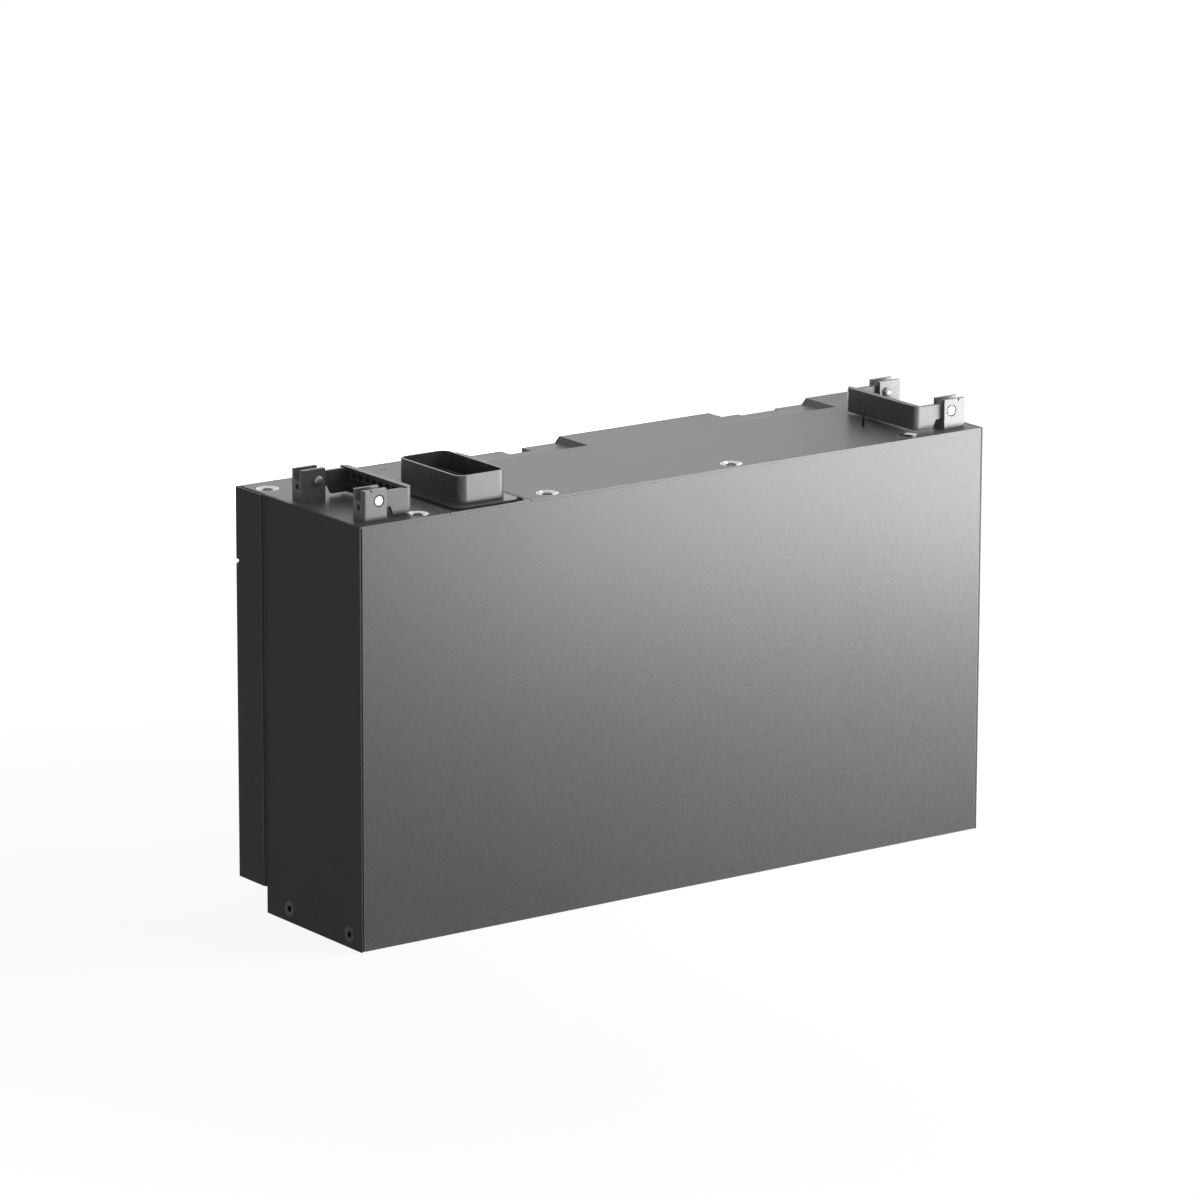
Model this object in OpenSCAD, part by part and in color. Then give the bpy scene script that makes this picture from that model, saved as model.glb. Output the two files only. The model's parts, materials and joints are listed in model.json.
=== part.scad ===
// Stackable home battery module. A flat sheet casing holds two tiers of flat cells and their electronics.
// Four slotted posts on top carry two swing-up handles and take the side screws of the module above.
// The hollow skirt goes over the posts, handles and connector of the module below.
// Frame: x to the right, y to the back, z up, origin on the floor at the centre of the footprint.

/* [Casing] */
// Width of the front section
front_w = 680; // [676:1:700]
// Depth of the front section
front_d = 149; // [147:1:156]
// Depth of the rear section
rear_d = 42; // [40:1:50]
// Height of the casing without its posts
case_h = 378; // [374:1:396]
// How far the rear section stands out at each side
rear_step = 2; // [1:0.5:4]
// Height of the rear section's underside above the floor
rear_lift = 24; // [16:1:30]
// Thickness of the side, skirt and rear sheets
sheet = 1.8; // [1.4:0.1:2.2]
// Thickness of the front panel
panel_t = 1.5; // [1:0.1:2]
// How far the front panel lies back from the side sheets
panel_inset = 0.6; // [0.2:0.1:1]
// Thickness of the top cover
cover_t = 2; // [1.6:0.1:2.4]
// Joint gap beside the front panel and around the top cover
seam = 0.6; // [0.3:0.1:0.9]
// Radius of the bends at the front corners
bend_r = 0.6; // [0.5:0.1:1.7]
// Width of the flanges that the panel and the cover lie on
flange_w = 12; // [8:1:16]
// Height of the pan above the floor
pan_h = 36; // [35:1:42]
// Thickness of the pan
pan_t = 2; // [1.5:0.1:3]
// Height of the notches in the rear section's back edges
edge_notch_z = 311; // [250:1:330]
// Height of one edge notch at its mouth
edge_notch_h = 5.5; // [3:0.5:8]
// Depth of the edge notches
edge_notch_depth = 4; // [2:0.5:5]

/* [Posts] */
// Length of a post across the casing
post_l = 24; // [23:0.5:26]
// Depth of a post from front to back
post_d = 16; // [15.5:0.5:18]
// Height of a post
post_h = 27.5; // [26:0.5:30]
// Distance of the posts from the casing's sides
post_inset = 12; // [11:0.5:15]
// Distance of the front posts from the casing's front
post_y = 11; // [9:0.5:14]
// Distance from the front posts to the rear posts
post_pitch = 95; // [88:1:104]
// Thickness of a post's front wall
post_wall = 4.2; // [3.8:0.1:4.6]
// Thickness of a post's ear
ear_t = 3; // [2:0.1:3.2]
// Height of the stop block at a post's outer end
block_h = 17; // [16:0.1:18]
// Length of the stop block
block_l = 8; // [7.5:0.1:8.4]
// Height of a post's solid foot
foot_h = 8.6; // [7:0.1:9.2]
// Radius of the rounded edge at a post's outer front corner
post_edge_r = 2.5; // [1:0.1:3.5]
// Distance of the small notch in a front post from its outer end
notch_out = 7.4; // [5:0.1:10]
// Width of the small notch
notch_w = 1.5; // [1:0.1:3]
// Depth of the small notch
notch_depth = 2.5; // [1:0.1:4]
// Radius of the threaded hole in a post's outer end
thread_r = 2.8; // [2.4:0.1:3.1]
// Length of the threaded hole
thread_l = 6.5; // [5:0.1:7]
// Height of the threaded hole above the top plane
thread_z = 12; // [11:0.5:12.5]
// Radius of the stud under a post
stud_r = 3; // [2.5:0.1:4]
// Length of the stud below the top plane
stud_l = 14; // [13:0.5:18]
// Width of a nut on a stud across its corners
nut_w = 11.5; // [11:0.5:13]
// Height of a nut
nut_h = 5; // [4:0.5:5.5]
// Thickness of the stiffening plate under the posts
plate_t = 4; // [3:0.5:5]

/* [Handles] */
// Distance of the handle axis from a post's outer end
pin_out = 16; // [15.8:0.1:16.5]
// Height of the handle axis above the top plane
pin_z = 17.2; // [17:0.1:18]
// Radius of a pin
pin_r = 3; // [2.5:0.1:3.4]
// Running clearance around a pin
pin_clear = 0.05; // [0.03:0.01:0.08]
// Radius of the flush head of a front pin
pin_head_r = 4.5; // [4:0.1:5]
// Radius of the sink around a flush head
sink_r = 5.5; // [5.2:0.1:6]
// Depth of the sink
sink_depth = 2.2; // [1.5:0.1:2.6]
// Radius of the domed tail of a rear pin
tail_r = 4.3; // [4:0.1:5]
// Length of the domed tail
tail_l = 3.5; // [2:0.1:4]
// Thickness of a handle arm
arm_t = 4.5; // [4:0.1:5]
// Gap between an arm and the walls beside it
arm_gap = 0.3; // [0.2:0.05:0.5]
// Radius of an arm's round end
tongue_r = 7.2; // [6.8:0.1:7.3]
// Distance from the handle axis to the crossbar's near face
reach = 32; // [30:0.5:44]
// Thickness of the crossbar
bar_t = 6; // [5:0.1:8]
// Height of the crossbar
bar_h = 22.1; // [20:0.1:23]
// How far the arms' top edge lies below the crossbar's top edge
arm_drop = 1; // [0:0.1:2]
// How far the crossbar runs past the rear arm
bar_over = 4; // [0:0.5:6]
// Radius of the crossbar's outer corners
bar_r = 5.5; // [2:0.1:5.8]
// Distance from the handle axis to the deep part of an arm
step_x = 14.5; // [14:0.5:16]
// Length of the slant between the narrow and the deep part
step_run = 3.5; // [2:0.5:6]
// Number of grid columns in the crossbar
grid_cols = 9; // [6:1:10]
// Depth of the grid cells
grid_depth = 4; // [2:0.1:4.4]
// Thickness of the ribs between the grid cells
grid_rib = 1.5; // [1:0.1:2.5]
// Height of the lip above the grid
grid_lip = 3.5; // [2:0.1:5]

/* [Connector] */
// Distance of the connector's centre from the casing's left side
conn_x = 138.25; // [134:0.25:142]
// Distance of the collar from the casing's front
conn_y = 14; // [14:0.5:18]
// Width of the collar
collar_w = 51.5; // [48:0.5:54]
// Length of the collar
collar_l = 95; // [90:1:98]
// Height of the collar above the top plane
collar_h = 26.5; // [24:0.5:27]
// Wall of the collar
collar_wall = 2.25; // [1.75:0.25:3]
// Radius of the collar's outer corners
collar_r = 9; // [6:0.5:12]
// Width of the flange around the collar's foot
flange_out = 8.5; // [6:0.5:8.5]
// Height of the flange above the top plane
flange_rise = 1.3; // [0.5:0.1:2]
// Width of the seal channel around the flange
channel_w = 4; // [3:0.5:4]
// Gap on both sides of a seal
seal_gap = 0.2; // [0.1:0.05:0.4]
// How far the seal lies below the top plane
seal_drop = 0.8; // [0.4:0.1:1.4]
// Width of the connector plate beside the seal channel
conn_plate_side = 3.75; // [2.75:0.25:6]
// How far the connector plate's centre lies left of the collar's centre
conn_plate_shift = 1.75; // [0:0.25:2]
// Width of the connector plate behind the seal channel
conn_plate_rim = 8; // [5:0.5:12]
// Thickness of the socket body under the connector plate
base_t = 6; // [4:0.5:9]
// How far the socket body reaches past the seal channel
base_rim = 3; // [2:0.5:4]
// Width of the contact shroud
shroud_w = 20.5; // [18:0.5:22]
// Length of the contact shroud
shroud_l = 74; // [68:1:76]
// Height of the contact shroud above the top plane
shroud_h = 15; // [13:0.5:16]
// Wall of the contact shroud
shroud_wall = 1.5; // [1:0.1:2]
// Height of the floor inside the shroud above the top plane
shroud_floor = 5; // [3:0.5:7]
// Thickness of a power contact
blade_t = 3; // [2:0.5:4]
// Length of a power contact
blade_l = 14; // [12:0.5:16]
// Distance of the power contacts from the connector's centre
blade_y = 25; // [23:0.5:26]
// Radius of a signal pin
signal_r = 0.8; // [0.5:0.1:1]
// Distance between signal pins
signal_pitch = 5; // [4:0.5:5.5]
// Number of signal pins in a row
signal_cols = 6; // [4:1:6]

/* [Plug] */
// Gap between the plug and the collar that it enters
plug_clear = 1; // [0.6:0.1:1.5]
// Height of the plug's end above the floor
plug_low = 3; // [2.5:0.5:6]
// Thickness of the rim seal under the plug's shoulder
plug_seal_t = 2; // [1:0.5:3]
// Height kept free above the collar's rim when stacked
rim_clear = 0.5; // [0.3:0.1:1]
// Width of the plug's flange past its shoulder
plug_flange = 5; // [4:0.5:7]
// Thickness of the plug's flange
plug_flange_t = 4; // [3:0.5:5]

/* [Bracket recesses] */
// Distance of the first recess from the casing's left side
recess_x = 232; // [226:1:240]
// Distance of the second recess from the casing's right side
recess_last = 56.3; // [50:0.1:64]
// Width of a recess
recess_w = 112; // [104:1:120]
// Length of a recess from the casing's back
recess_l = 45.5; // [40:0.5:50]
// Depth of a recess
recess_depth = 5.5; // [4:0.1:7]
// Length of the slope at a recess's front
recess_ramp = 18; // [10:1:22]
// Length of the slope at a recess's left end
recess_slope = 15.6; // [8:0.1:20]
// Length of the steep end at a recess's right
recess_steep = 5; // [2:0.5:8]
// Depth of the hook slot below the recess floor
hook_depth = 8; // [5:0.5:10]
// Radius of the small pilot holes
pilot_r = 1.1; // [0.8:0.1:1.5]
// Distance between the two holes of a pair
pilot_gap = 4.2; // [3.5:0.1:6]

/* [Screws] */
// Distance of the front row of top screws from the casing's front
screw_y = 14; // [13:0.5:16]
// Distance of the first top screw from the casing's left side
screw_first = 70; // [66:1:74]
// Distance of the second top screw from the casing's left side
screw_second = 206; // [202:1:212]
// Distance of the last top screw in the front row from the casing's right side
screw_last = 75; // [73:1:80]
// Distance of the rear top screw from the casing's left side
screw_rear_x = 16.3; // [16:0.1:18]
// Distance of the rear top screw from the casing's back
screw_rear_y = 23.4; // [22:0.1:26]
// Radius of a screw cup at the surface
cup_r = 10; // [9:0.1:11]
// Depth of a screw cup
cup_depth = 3.7; // [3.4:0.1:4]
// Thickness of a screw cup
cup_t = 0.7; // [0.5:0.1:0.9]
// Radius of the flat at the bottom of a cup
cup_flat_r = 5.6; // [5.4:0.1:6.5]
// Thickness of the formed seat under a cup
form_t = 1.5; // [1:0.1:2]
// Radius of a top screw's head
head_r = 4.6; // [4.2:0.1:4.8]
// Height of a top screw's head
head_h = 2.6; // [2:0.1:2.8]
// Radius of a top screw's shank
shank_r = 2.4; // [2:0.1:2.6]
// Length of a top screw's shank
shank_l = 12; // [10:0.5:16]
// Height of the side screws above the floor
side_screw_z = 12; // [11:0.5:12.5]
// Radius of a side screw's head at the surface
side_head_r = 7.25; // [6:0.05:8]
// Length of a side screw's countersunk head
side_head_l = 3.6; // [3:0.1:4.5]
// Radius of the boss around a side screw
boss_r = 9.5; // [9:0.1:10.5]
// Gap between a boss's end and the post that it meets when stacked
boss_gap = 0.6; // [0.4:0.1:1]
// Clearance of the screws in their holes
screw_clear = 0.1; // [0.05:0.01:0.2]

/* [Cells] */
// Thickness of one cell
cell_t = 48; // [45:0.5:48.5]
// Length of one cell from front to back
cell_l = 160; // [152:1:164]
// Height of one cell
cell_h = 118; // [112:1:121]
// Number of cells in a tier
tier_cells = 8; // [6:1:8]
// Thickness of the spacers between cells
spacer_t = 1; // [0.6:0.1:1.2]
// Thickness of the end plates
end_t = 8; // [6:0.5:9]
// Room between the cell stack and the casing's right side
stack_room = 10; // [7:0.5:12]
// Thickness of the cell tray and of the plate between the tiers
tray_t = 3; // [2:0.5:4]
// Height kept free above the cells of a tier
bar_room = 13; // [11:0.5:15]
// Radius of a cell terminal
terminal_r = 7; // [5:0.5:9]
// Height of a cell terminal
terminal_h = 3; // [2:0.5:4]
// Distance of the terminals from a cell's centre
terminal_y = 48; // [40:1:56]
// Thickness of a busbar
busbar_t = 2; // [1:0.5:3]
// Width of a busbar
busbar_w = 26; // [20:1:32]
// Thickness of a tie strap
strap_t = 1; // [0.6:0.1:1.5]
// Height of a tie strap
strap_h = 20; // [14:1:30]

/* [Electronics] */
// Gap between the electronics bay's back plate and the cells
bay_clear = 25; // [20:1:30]
// Gap between the bay's back plate and the casing's left side
bay_gap = 12; // [11:0.5:16]
// Height of the bay's back plate
bay_h = 300; // [260:5:310]
// Thickness of the bay's back plate
bay_t = 2; // [1.5:0.1:3]
// Depth of the heat sink from its base to its fin tips
sink_d = 29; // [20:0.5:29]
// Thickness of a heat sink fin
fin_t = 2; // [1:0.1:3]
// Number of heat sink fins
fin_count = 14; // [8:1:18]
// Thickness of a circuit board
board_t = 1.6; // [1:0.1:2.4]
// Length of the spacers that carry the converter board
standoff_l = 14; // [8:1:18]
// Radius of a spacer
standoff_r = 3; // [2:0.5:4]
// Radius of a coil on the converter board
coil_r = 17; // [12:1:18]
// Radius of a capacitor on the converter board
cap_r = 9; // [6:0.5:10]
// Height of the parts on the converter board
part_h = 28; // [20:1:32]
// Radius of a power lead
lead_r = 5; // [3:0.5:6]
// Radius of a signal lead
harness_r = 2; // [1:0.5:3]
// Radius of the extinguishing canister
can_r = 16; // [12:1:18]
// Length of the extinguishing canister
can_l = 110; // [90:1:120]

/* [Hidden] */
$fn = 64;
eps = 0.01;
over = 1;
total_d = front_d + rear_d;
x_side = front_w / 2;
x_rear = x_side + rear_step;
x_in = x_side - sheet;
y_front = -total_d / 2;
y_back = total_d / 2;
y_step = y_front + front_d;
y_panel = y_front + panel_inset + panel_t;
y_in = y_panel + sheet;
z_top = case_h;
z_under = z_top - cover_t;
z_pan = pan_h + pan_t;
cover_x = x_in - seam;
cover_back = y_back - sheet - seam;

post_out = x_side - post_inset;
post_in = post_out - post_l;
post_front_y = y_front + post_y;
post_rows = [post_front_y, post_front_y + post_pitch];
pin_x = post_out - pin_out;
pin_height = z_top + pin_z;
stud_x = post_out - post_l / 2;
bar_top = pin_z + tongue_r;
bar_low = bar_top - bar_h;
rear_arm_back = post_rows[1] + post_wall + arm_gap + arm_t;
bar_front = post_rows[0] + post_wall + arm_gap;
bar_back = rear_arm_back + bar_over;
bar_x = pin_x - reach - bar_t;
grid_span = bar_back - bar_front - 2 * bar_r;
grid_pitch = grid_span / grid_cols;
grid_row_h = (bar_h - grid_lip - 3 * grid_rib) / 3;

conn_cx = -x_side + conn_x;
conn_cy = y_front + conn_y + collar_l / 2;
flange_x = collar_w + 2 * flange_out;
flange_y = collar_l + 2 * flange_out;
channel_x = flange_x + 2 * channel_w;
channel_y = flange_y + 2 * channel_w;
base_x = channel_x + 2 * base_rim;
base_y = channel_y + base_rim;
base_z = z_under - base_t;
conn_plate_w = channel_x + 2 * conn_plate_side;
conn_plate_l = conn_y + collar_l + flange_out + channel_w + conn_plate_rim;
conn_plate_cx = conn_cx - conn_plate_shift;
collar_in_x = collar_w - 2 * collar_wall;
collar_in_y = collar_l - 2 * collar_wall;
collar_in_r = collar_r - collar_wall;
// Places of the coding ribs along the collar, as shares of its inner length
rib_places = [0.43, 0.31, 0.1, -0.21];
rib_size = 1.2;

plug_x = collar_in_x - 2 * plug_clear;
plug_y = collar_in_y - 2 * plug_clear;
plug_r = collar_in_r - plug_clear;
shoulder_z = collar_h + rim_clear + plug_seal_t;
shoulder_x = collar_w + 2;
shoulder_y = collar_l + 2;
plug_flange_x = shoulder_x + 2 * plug_flange;
plug_flange_y = shoulder_y + plug_flange;
cavity_x = shroud_w + 2 * plug_clear;
cavity_y = shroud_l + 2 * plug_clear;
cavity_top = shroud_h + 2 * plug_clear;

recess_front = y_back - recess_l;
recess_starts = [-x_side + recess_x, x_side - recess_last - recess_w];
// Hook slots as start from the recess's left end, width and length from the cover's back edge
hook_slots = [[48, 23, 12], [34, 42, 2.5]];
pilot_pairs = [
    [recess_starts[0] + 19, recess_front + 5],
    [recess_starts[0] + 66, recess_front + 5],
    [recess_starts[1] + 17, recess_front + 5],
    [recess_starts[1] + 64, recess_front + 5],
    [conn_cx + 1.25, y_back - 20.7],
    [x_side - screw_last - 37.5, y_front + screw_y],
];

seat_z = z_top - cup_depth;
form_z = seat_z - form_t;
seat_r = cup_r + form_t;
rail_w = screw_y + seat_r;
plate_margin = 4;
rail_end = post_in - plate_margin - seam;
screw_mid = (screw_second + front_w - screw_last) / 2;
top_screws_front = [
    for (x = [screw_first, screw_second, screw_mid, front_w - screw_last])
        [-x_side + x, y_front + screw_y]
];
rear_screw = [-x_side + screw_rear_x, y_back - screw_rear_y];
top_screw_places = concat(top_screws_front, [rear_screw]);
tab_w = screw_rear_x + seat_r;
side_screw_rows = [for (y = post_rows) y + post_d / 2];
boss_end = post_out + boss_gap;
core_r = 1.1;
core_h = 1.2;
socket_r = 2.3;
socket_depth = 1.6;
side_socket_r = 3;
side_socket_depth = 3;

tray_z = z_pan + tray_t;
tier_pitch = cell_h + bar_room + tray_t;
tiers = [tray_z, tray_z + tier_pitch];
lid_z = tiers[1] + cell_h + bar_room;
stack_x1 = x_in - stack_room;
cell_step = cell_t + spacer_t;
stack_l = tier_cells * cell_step + spacer_t + 2 * end_t;
stack_x0 = stack_x1 - stack_l;
cells_x0 = stack_x0 + end_t + spacer_t;
stack_y = (y_in + y_back - sheet) / 2;
stack_y0 = stack_y - cell_l / 2;
stack_y1 = stack_y + cell_l / 2;
bar_z = cell_h + terminal_h;

bay_x0 = -x_in + bay_gap;
bay_x1 = stack_x0 - bay_clear;
bay_back = y_back - sheet - sink_d - over;
bay_front = bay_back - bay_t;
board_back = bay_front - standoff_l;
board_front = board_back - board_t;
sink_inset = 12;
board_inset = 8;
board_lift = 84;
board_low = [bay_x0 + board_inset, z_pan + board_lift];
board_high = [bay_x1 - board_inset, z_pan + bay_h - board_inset];
board_w = board_high[0] - board_low[0];
board_h = board_high[1] - board_low[1];
sink_low_z = z_pan + 30;
standoff_inset = 10;
bms_x0 = stack_x0 + 12;
bms_l = 190;
bms_w = 96;
bms_low = [bms_x0, stack_y - bms_w / 2];
bms_high = [bms_x0 + bms_l, stack_y + bms_w / 2];
bms_lift = 8;
bms_z = lid_z + tray_t + bms_lift;
contactor_size = [52, 44, 58];
contactor_stud_h = 5;
contactor_x0 = bay_x0 + 4;
contactor_y0 = stack_y0 + 12;
stud_shares = [0.25, 0.75];
fuse_r = 11;
fuse_l = 60;
fuse_seat = 4;
foot_margin = 2;
foot_w = 2 * (fuse_r + foot_margin);
fuse_x1 = bay_x1 - foot_margin;
fuse_x0 = fuse_x1 - fuse_l;
fuse_y = bay_front - foot_margin - fuse_r;
fuse_z = z_pan + bay_t + fuse_seat + fuse_r;
shunt_size = [60, 20, 12];
shunt_x1 = fuse_x0 - 2 * foot_margin;
lead_offset = collar_in_x / 2 - lead_r - 4.5;
lead_y = conn_cy + 26;
lead_places = [[conn_cx - lead_offset, lead_y], [conn_cx + lead_offset, lead_y]];
branch_r = lead_r - 1;
branch_z = z_pan + contactor_size[2] + 3 * lead_r;
branch_step = 2.5 * lead_r;
can_x0 = stack_x1 - can_l - 24;
can_z = lid_z + tray_t + can_r + 2;
saddle_w = 12;
saddle_t = 4;
vent_r = 9;
// Places of the signal contacts, from the connector's centre
signal_places = [
    for (row = [-1, 1])
        for (i = [0 : signal_cols - 1])
            [row * signal_pitch / 2, (i - (signal_cols - 1) / 2) * signal_pitch]
];
earth_w = 2.5;
earth_t = 1;
earth_h = 15.5;
earth_gap = 20;
earth_tail = 6;
earth_x = bar_x - earth_gap - earth_w;
earth_y = (bar_front + bar_back) / 2 - 2.75;
earth_low = [earth_x, earth_y, z_under - earth_tail];
earth_high = [earth_x + earth_w, earth_y + earth_t, z_top + earth_h];

// Box between two corners
module block(low, high) {
    translate(low)
        cube(high - low);
}

// Flat rectangle with round corners, centred
module round_rect(w, d, r) {
    square([w - 2 * r, d], center = true);
    square([w, d - 2 * r], center = true);
    for (x = [-1, 1])
        for (y = [-1, 1])
            translate([x * (w / 2 - r), y * (d / 2 - r)])
                circle(r);
}

// Rounded column centred on the connector, between two heights
module conn_column(w, d, r, z0, z1) {
    translate([conn_cx, conn_cy, z0])
        linear_extrude(z1 - z0)
            round_rect(w, d, r);
}

// Rod along y
module rod_y(r, x, z, y0, y1) {
    translate([x, y0, z])
        rotate([-90, 0, 0])
            cylinder(r = r, h = y1 - y0);
}

// Rod along x
module rod_x(r, y, z, x0, x1) {
    translate([x0, y, z])
        rotate([0, 90, 0])
            cylinder(r = r, h = x1 - x0);
}

// Both sides of the casing
module both_sides() {
    children();
    mirror([1, 0, 0])
        children();
}

// Casing

// One side sheet with the round bend at its front edge
module side_sheet() {
    linear_extrude(z_top)
        difference() {
            translate([x_in, y_front])
                square([sheet, front_d]);
            translate([x_side - bend_r, y_front])
                difference() {
                    translate([0, -eps])
                        square([bend_r + eps, bend_r + eps]);
                    translate([0, bend_r])
                        circle(bend_r);
                }
        }
}

// Space of a side screw: its countersunk head and its thread
module side_screw_space(y) {
    rod_x(thread_r, y, side_screw_z, boss_end - over, x_side);
    translate([x_side - side_head_l, y, side_screw_z])
        rotate([0, 90, 0])
            cylinder(r1 = thread_r, r2 = side_head_r + screw_clear, h = side_head_l);
    rod_x(side_head_r + screw_clear, y, side_screw_z, x_side, x_side + over);
}

module housing_shell() {
    color("#3d3e40")
        difference() {
            union() {
                both_sides() {
                    side_sheet();
                    block([x_in - flange_w, y_panel, 0], [x_in, y_in, z_under]);
                    block([x_in - flange_w, y_in, z_under - sheet], [x_in, y_step, z_under]);
                    for (y = side_screw_rows)
                        rod_x(boss_r, y, side_screw_z, boss_end, x_in + eps);
                }
                block([-x_in, y_panel, 0], [x_in, y_in, pan_h]);
                block([-x_in, y_step - sheet, 0], [x_in, y_step, pan_h]);
                block([-x_in, y_panel, form_z - sheet], [x_in, y_in, z_under]);
                block([-rail_end, y_in, form_z - sheet], [rail_end, y_front + rail_w, form_z]);
            }
            both_sides()
                for (y = side_screw_rows)
                    side_screw_space(y);
            for (p = top_screws_front)
                translate([p[0], p[1], 0]) {
                    translate([0, 0, form_z - sheet - over])
                        cylinder(r = shank_r + screw_clear, h = sheet + 2 * over);
                    translate([0, 0, form_z])
                        cylinder(r = seat_r + seam, h = z_top - form_z);
                }
            conn_column(base_x + 2 * seam, base_y + 2 * over + base_rim, collar_r, base_z - seam, z_top);
            block([conn_plate_cx - conn_plate_w / 2 - seam, y_front - over, form_z - sheet - seam],
                  [conn_plate_cx + conn_plate_w / 2 + seam, y_in + eps, z_under + eps]);
        }
}

module front_panel() {
    color("#4b4c4e")
        block([-x_in + seam, y_front + panel_inset, 0], [x_in - seam, y_panel, z_under]);
}

// Outline of a bracket recess seen from the front, extruded from y0 to the back
module recess_front_view(x0, y0, y1) {
    slope_over = recess_slope / recess_depth * over;
    steep_over = recess_steep / recess_depth * over;
    translate([x0, y1, z_top])
        rotate([90, 0, 0])
            linear_extrude(y1 - y0)
                polygon([
                    [-slope_over, over],
                    [recess_slope, -recess_depth],
                    [recess_w - recess_steep, -recess_depth],
                    [recess_w + steep_over, over],
                ]);
}

// Outline of a bracket recess seen from the side
module recess_side_view(x0) {
    ramp_over = recess_ramp / recess_depth * over;
    translate([x0 - recess_w, 0, z_top])
        rotate([90, 0, 90])
            linear_extrude(3 * recess_w)
                polygon([
                    [recess_front - ramp_over, over],
                    [recess_front + recess_ramp, -recess_depth],
                    [y_back + over, -recess_depth],
                    [y_back + over, over],
                ]);
}

// Open space of a bracket recess
module recess_space(x0) {
    intersection() {
        recess_front_view(x0, recess_front - recess_l, y_back + over);
        recess_side_view(x0);
    }
}

// Open space of the hook slot in a recess's floor
module hook_space(x0, slot) {
    block([x0 + slot[0], cover_back - slot[2], z_top - recess_depth - hook_depth],
          [x0 + slot[0] + slot[1], y_back + over, z_top]);
}

// Formed tub around a recess and its hook slot
module recess_tub(x0, slot) {
    floor_z = z_top - recess_depth - cover_t;
    block([x0 - cover_t, recess_front - cover_t, floor_z],
          [x0 + recess_w + cover_t, cover_back, z_under + eps]);
    block([x0 + slot[0] - cover_t, cover_back - slot[2] - cover_t, floor_z - hook_depth],
          [x0 + slot[0] + slot[1] + cover_t, cover_back, z_under + eps]);
}

// Outline of the rear section seen from above
module rear_outline() {
    polygon([
        [-x_side, y_step], [-x_rear, y_step + rear_step], [-x_rear, y_back],
        [x_rear, y_back], [x_rear, y_step + rear_step], [x_side, y_step],
    ]);
}

module rear_cover() {
    notch_block = edge_notch_depth + 2 * sheet;
    color("#38393b")
        difference() {
            union() {
                translate([0, 0, rear_lift])
                    linear_extrude(z_top - rear_lift)
                        difference() {
                            rear_outline();
                            polygon([
                                [-x_in, y_step - over],
                                [-x_in, y_step],
                                [-x_rear + sheet, y_step + rear_step],
                                [-x_rear + sheet, y_back - sheet],
                                [x_rear - sheet, y_back - sheet],
                                [x_rear - sheet, y_step + rear_step],
                                [x_in, y_step],
                                [x_in, y_step - over],
                            ]);
                        }
                translate([0, 0, rear_lift])
                    linear_extrude(sheet)
                        rear_outline();
                translate([0, 0, z_under - sheet])
                    linear_extrude(sheet)
                        intersection() {
                            rear_outline();
                            both_sides()
                                translate([x_in - flange_w, y_step - over])
                                    square([flange_w + sheet + 2 * rear_step, rear_step + 2 * over]);
                        }
                both_sides()
                    block([x_rear - notch_block, y_back - notch_block, edge_notch_z - edge_notch_h],
                          [x_rear - eps, y_back - eps, edge_notch_z + edge_notch_h]);
                block([-x_rear + eps, rear_screw[1] - seat_r, form_z - sheet],
                      [-x_side + tab_w, y_back - sheet + eps, form_z]);
            }
            both_sides()
                translate([x_rear, y_back + over, edge_notch_z])
                    rotate([90, 0, 0])
                        linear_extrude(edge_notch_depth + over)
                            polygon([
                                [over, edge_notch_h / 2],
                                [-edge_notch_depth, 0],
                                [over, -edge_notch_h / 2],
                            ]);
            for (i = [0, 1]) {
                recess_front_view(recess_starts[i], cover_back - seam, y_back + over);
                hook_space(recess_starts[i], hook_slots[i]);
            }
            translate([rear_screw[0], rear_screw[1], form_z - sheet - over])
                cylinder(r = shank_r + screw_clear, h = sheet + 2 * over);
            translate([0, (y_step + y_back) / 2, rear_lift - over])
                cylinder(r = vent_r, h = sheet + 2 * over);
        }
}

module top_cover() {
    color("#54565a")
        difference() {
            union() {
                block([-cover_x, y_front, z_under], [cover_x, cover_back, z_top]);
                for (i = [0, 1])
                    recess_tub(recess_starts[i], hook_slots[i]);
                for (p = top_screw_places)
                    translate([p[0], p[1], form_z])
                        cylinder(r = seat_r, h = z_top - form_z - eps);
            }
            block([-x_side, y_front - over, form_z - over], [x_side, y_front, z_top + over]);
            for (i = [0, 1]) {
                recess_space(recess_starts[i]);
                hook_space(recess_starts[i], hook_slots[i]);
            }
            for (p = top_screw_places)
                translate([p[0], p[1], 0]) {
                    translate([0, 0, form_z - over])
                        cylinder(r = shank_r + screw_clear, h = form_t + 2 * over);
                    translate([0, 0, seat_z])
                        cylinder(r1 = cup_flat_r + screw_clear, r2 = cup_r + screw_clear, h = cup_depth);
                    translate([0, 0, z_top])
                        cylinder(r = cup_r + screw_clear, h = over);
                }
            block([conn_plate_cx - conn_plate_w / 2 - seam, y_front - over, z_under - over],
                  [conn_plate_cx + conn_plate_w / 2 + seam, y_front + conn_plate_l + seam, z_top + over]);
            for (p = pilot_pairs)
                for (side = [-1, 1])
                    translate([p[0] + side * pilot_gap / 2, p[1], z_under - recess_depth])
                        cylinder(r = pilot_r, h = cover_t + recess_depth + over);
            both_sides()
                for (y = post_rows)
                    translate([stud_x, y + post_d / 2, z_under - over])
                        cylinder(r = stud_r + screw_clear, h = cover_t + 2 * over);
            block(earth_low - [screw_clear, screw_clear, 0], earth_high + [screw_clear, screw_clear, 0]);
        }
}

// Pan that closes the casing above its skirt
module bottom_pan() {
    color("#303133")
        difference() {
            block([-x_in, y_in, pan_h], [x_in, y_step, z_pan]);
            conn_column(shoulder_x + 2 * seam, shoulder_y + 2 * seam, collar_r, pan_h - over, z_pan + over);
        }
}

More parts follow.
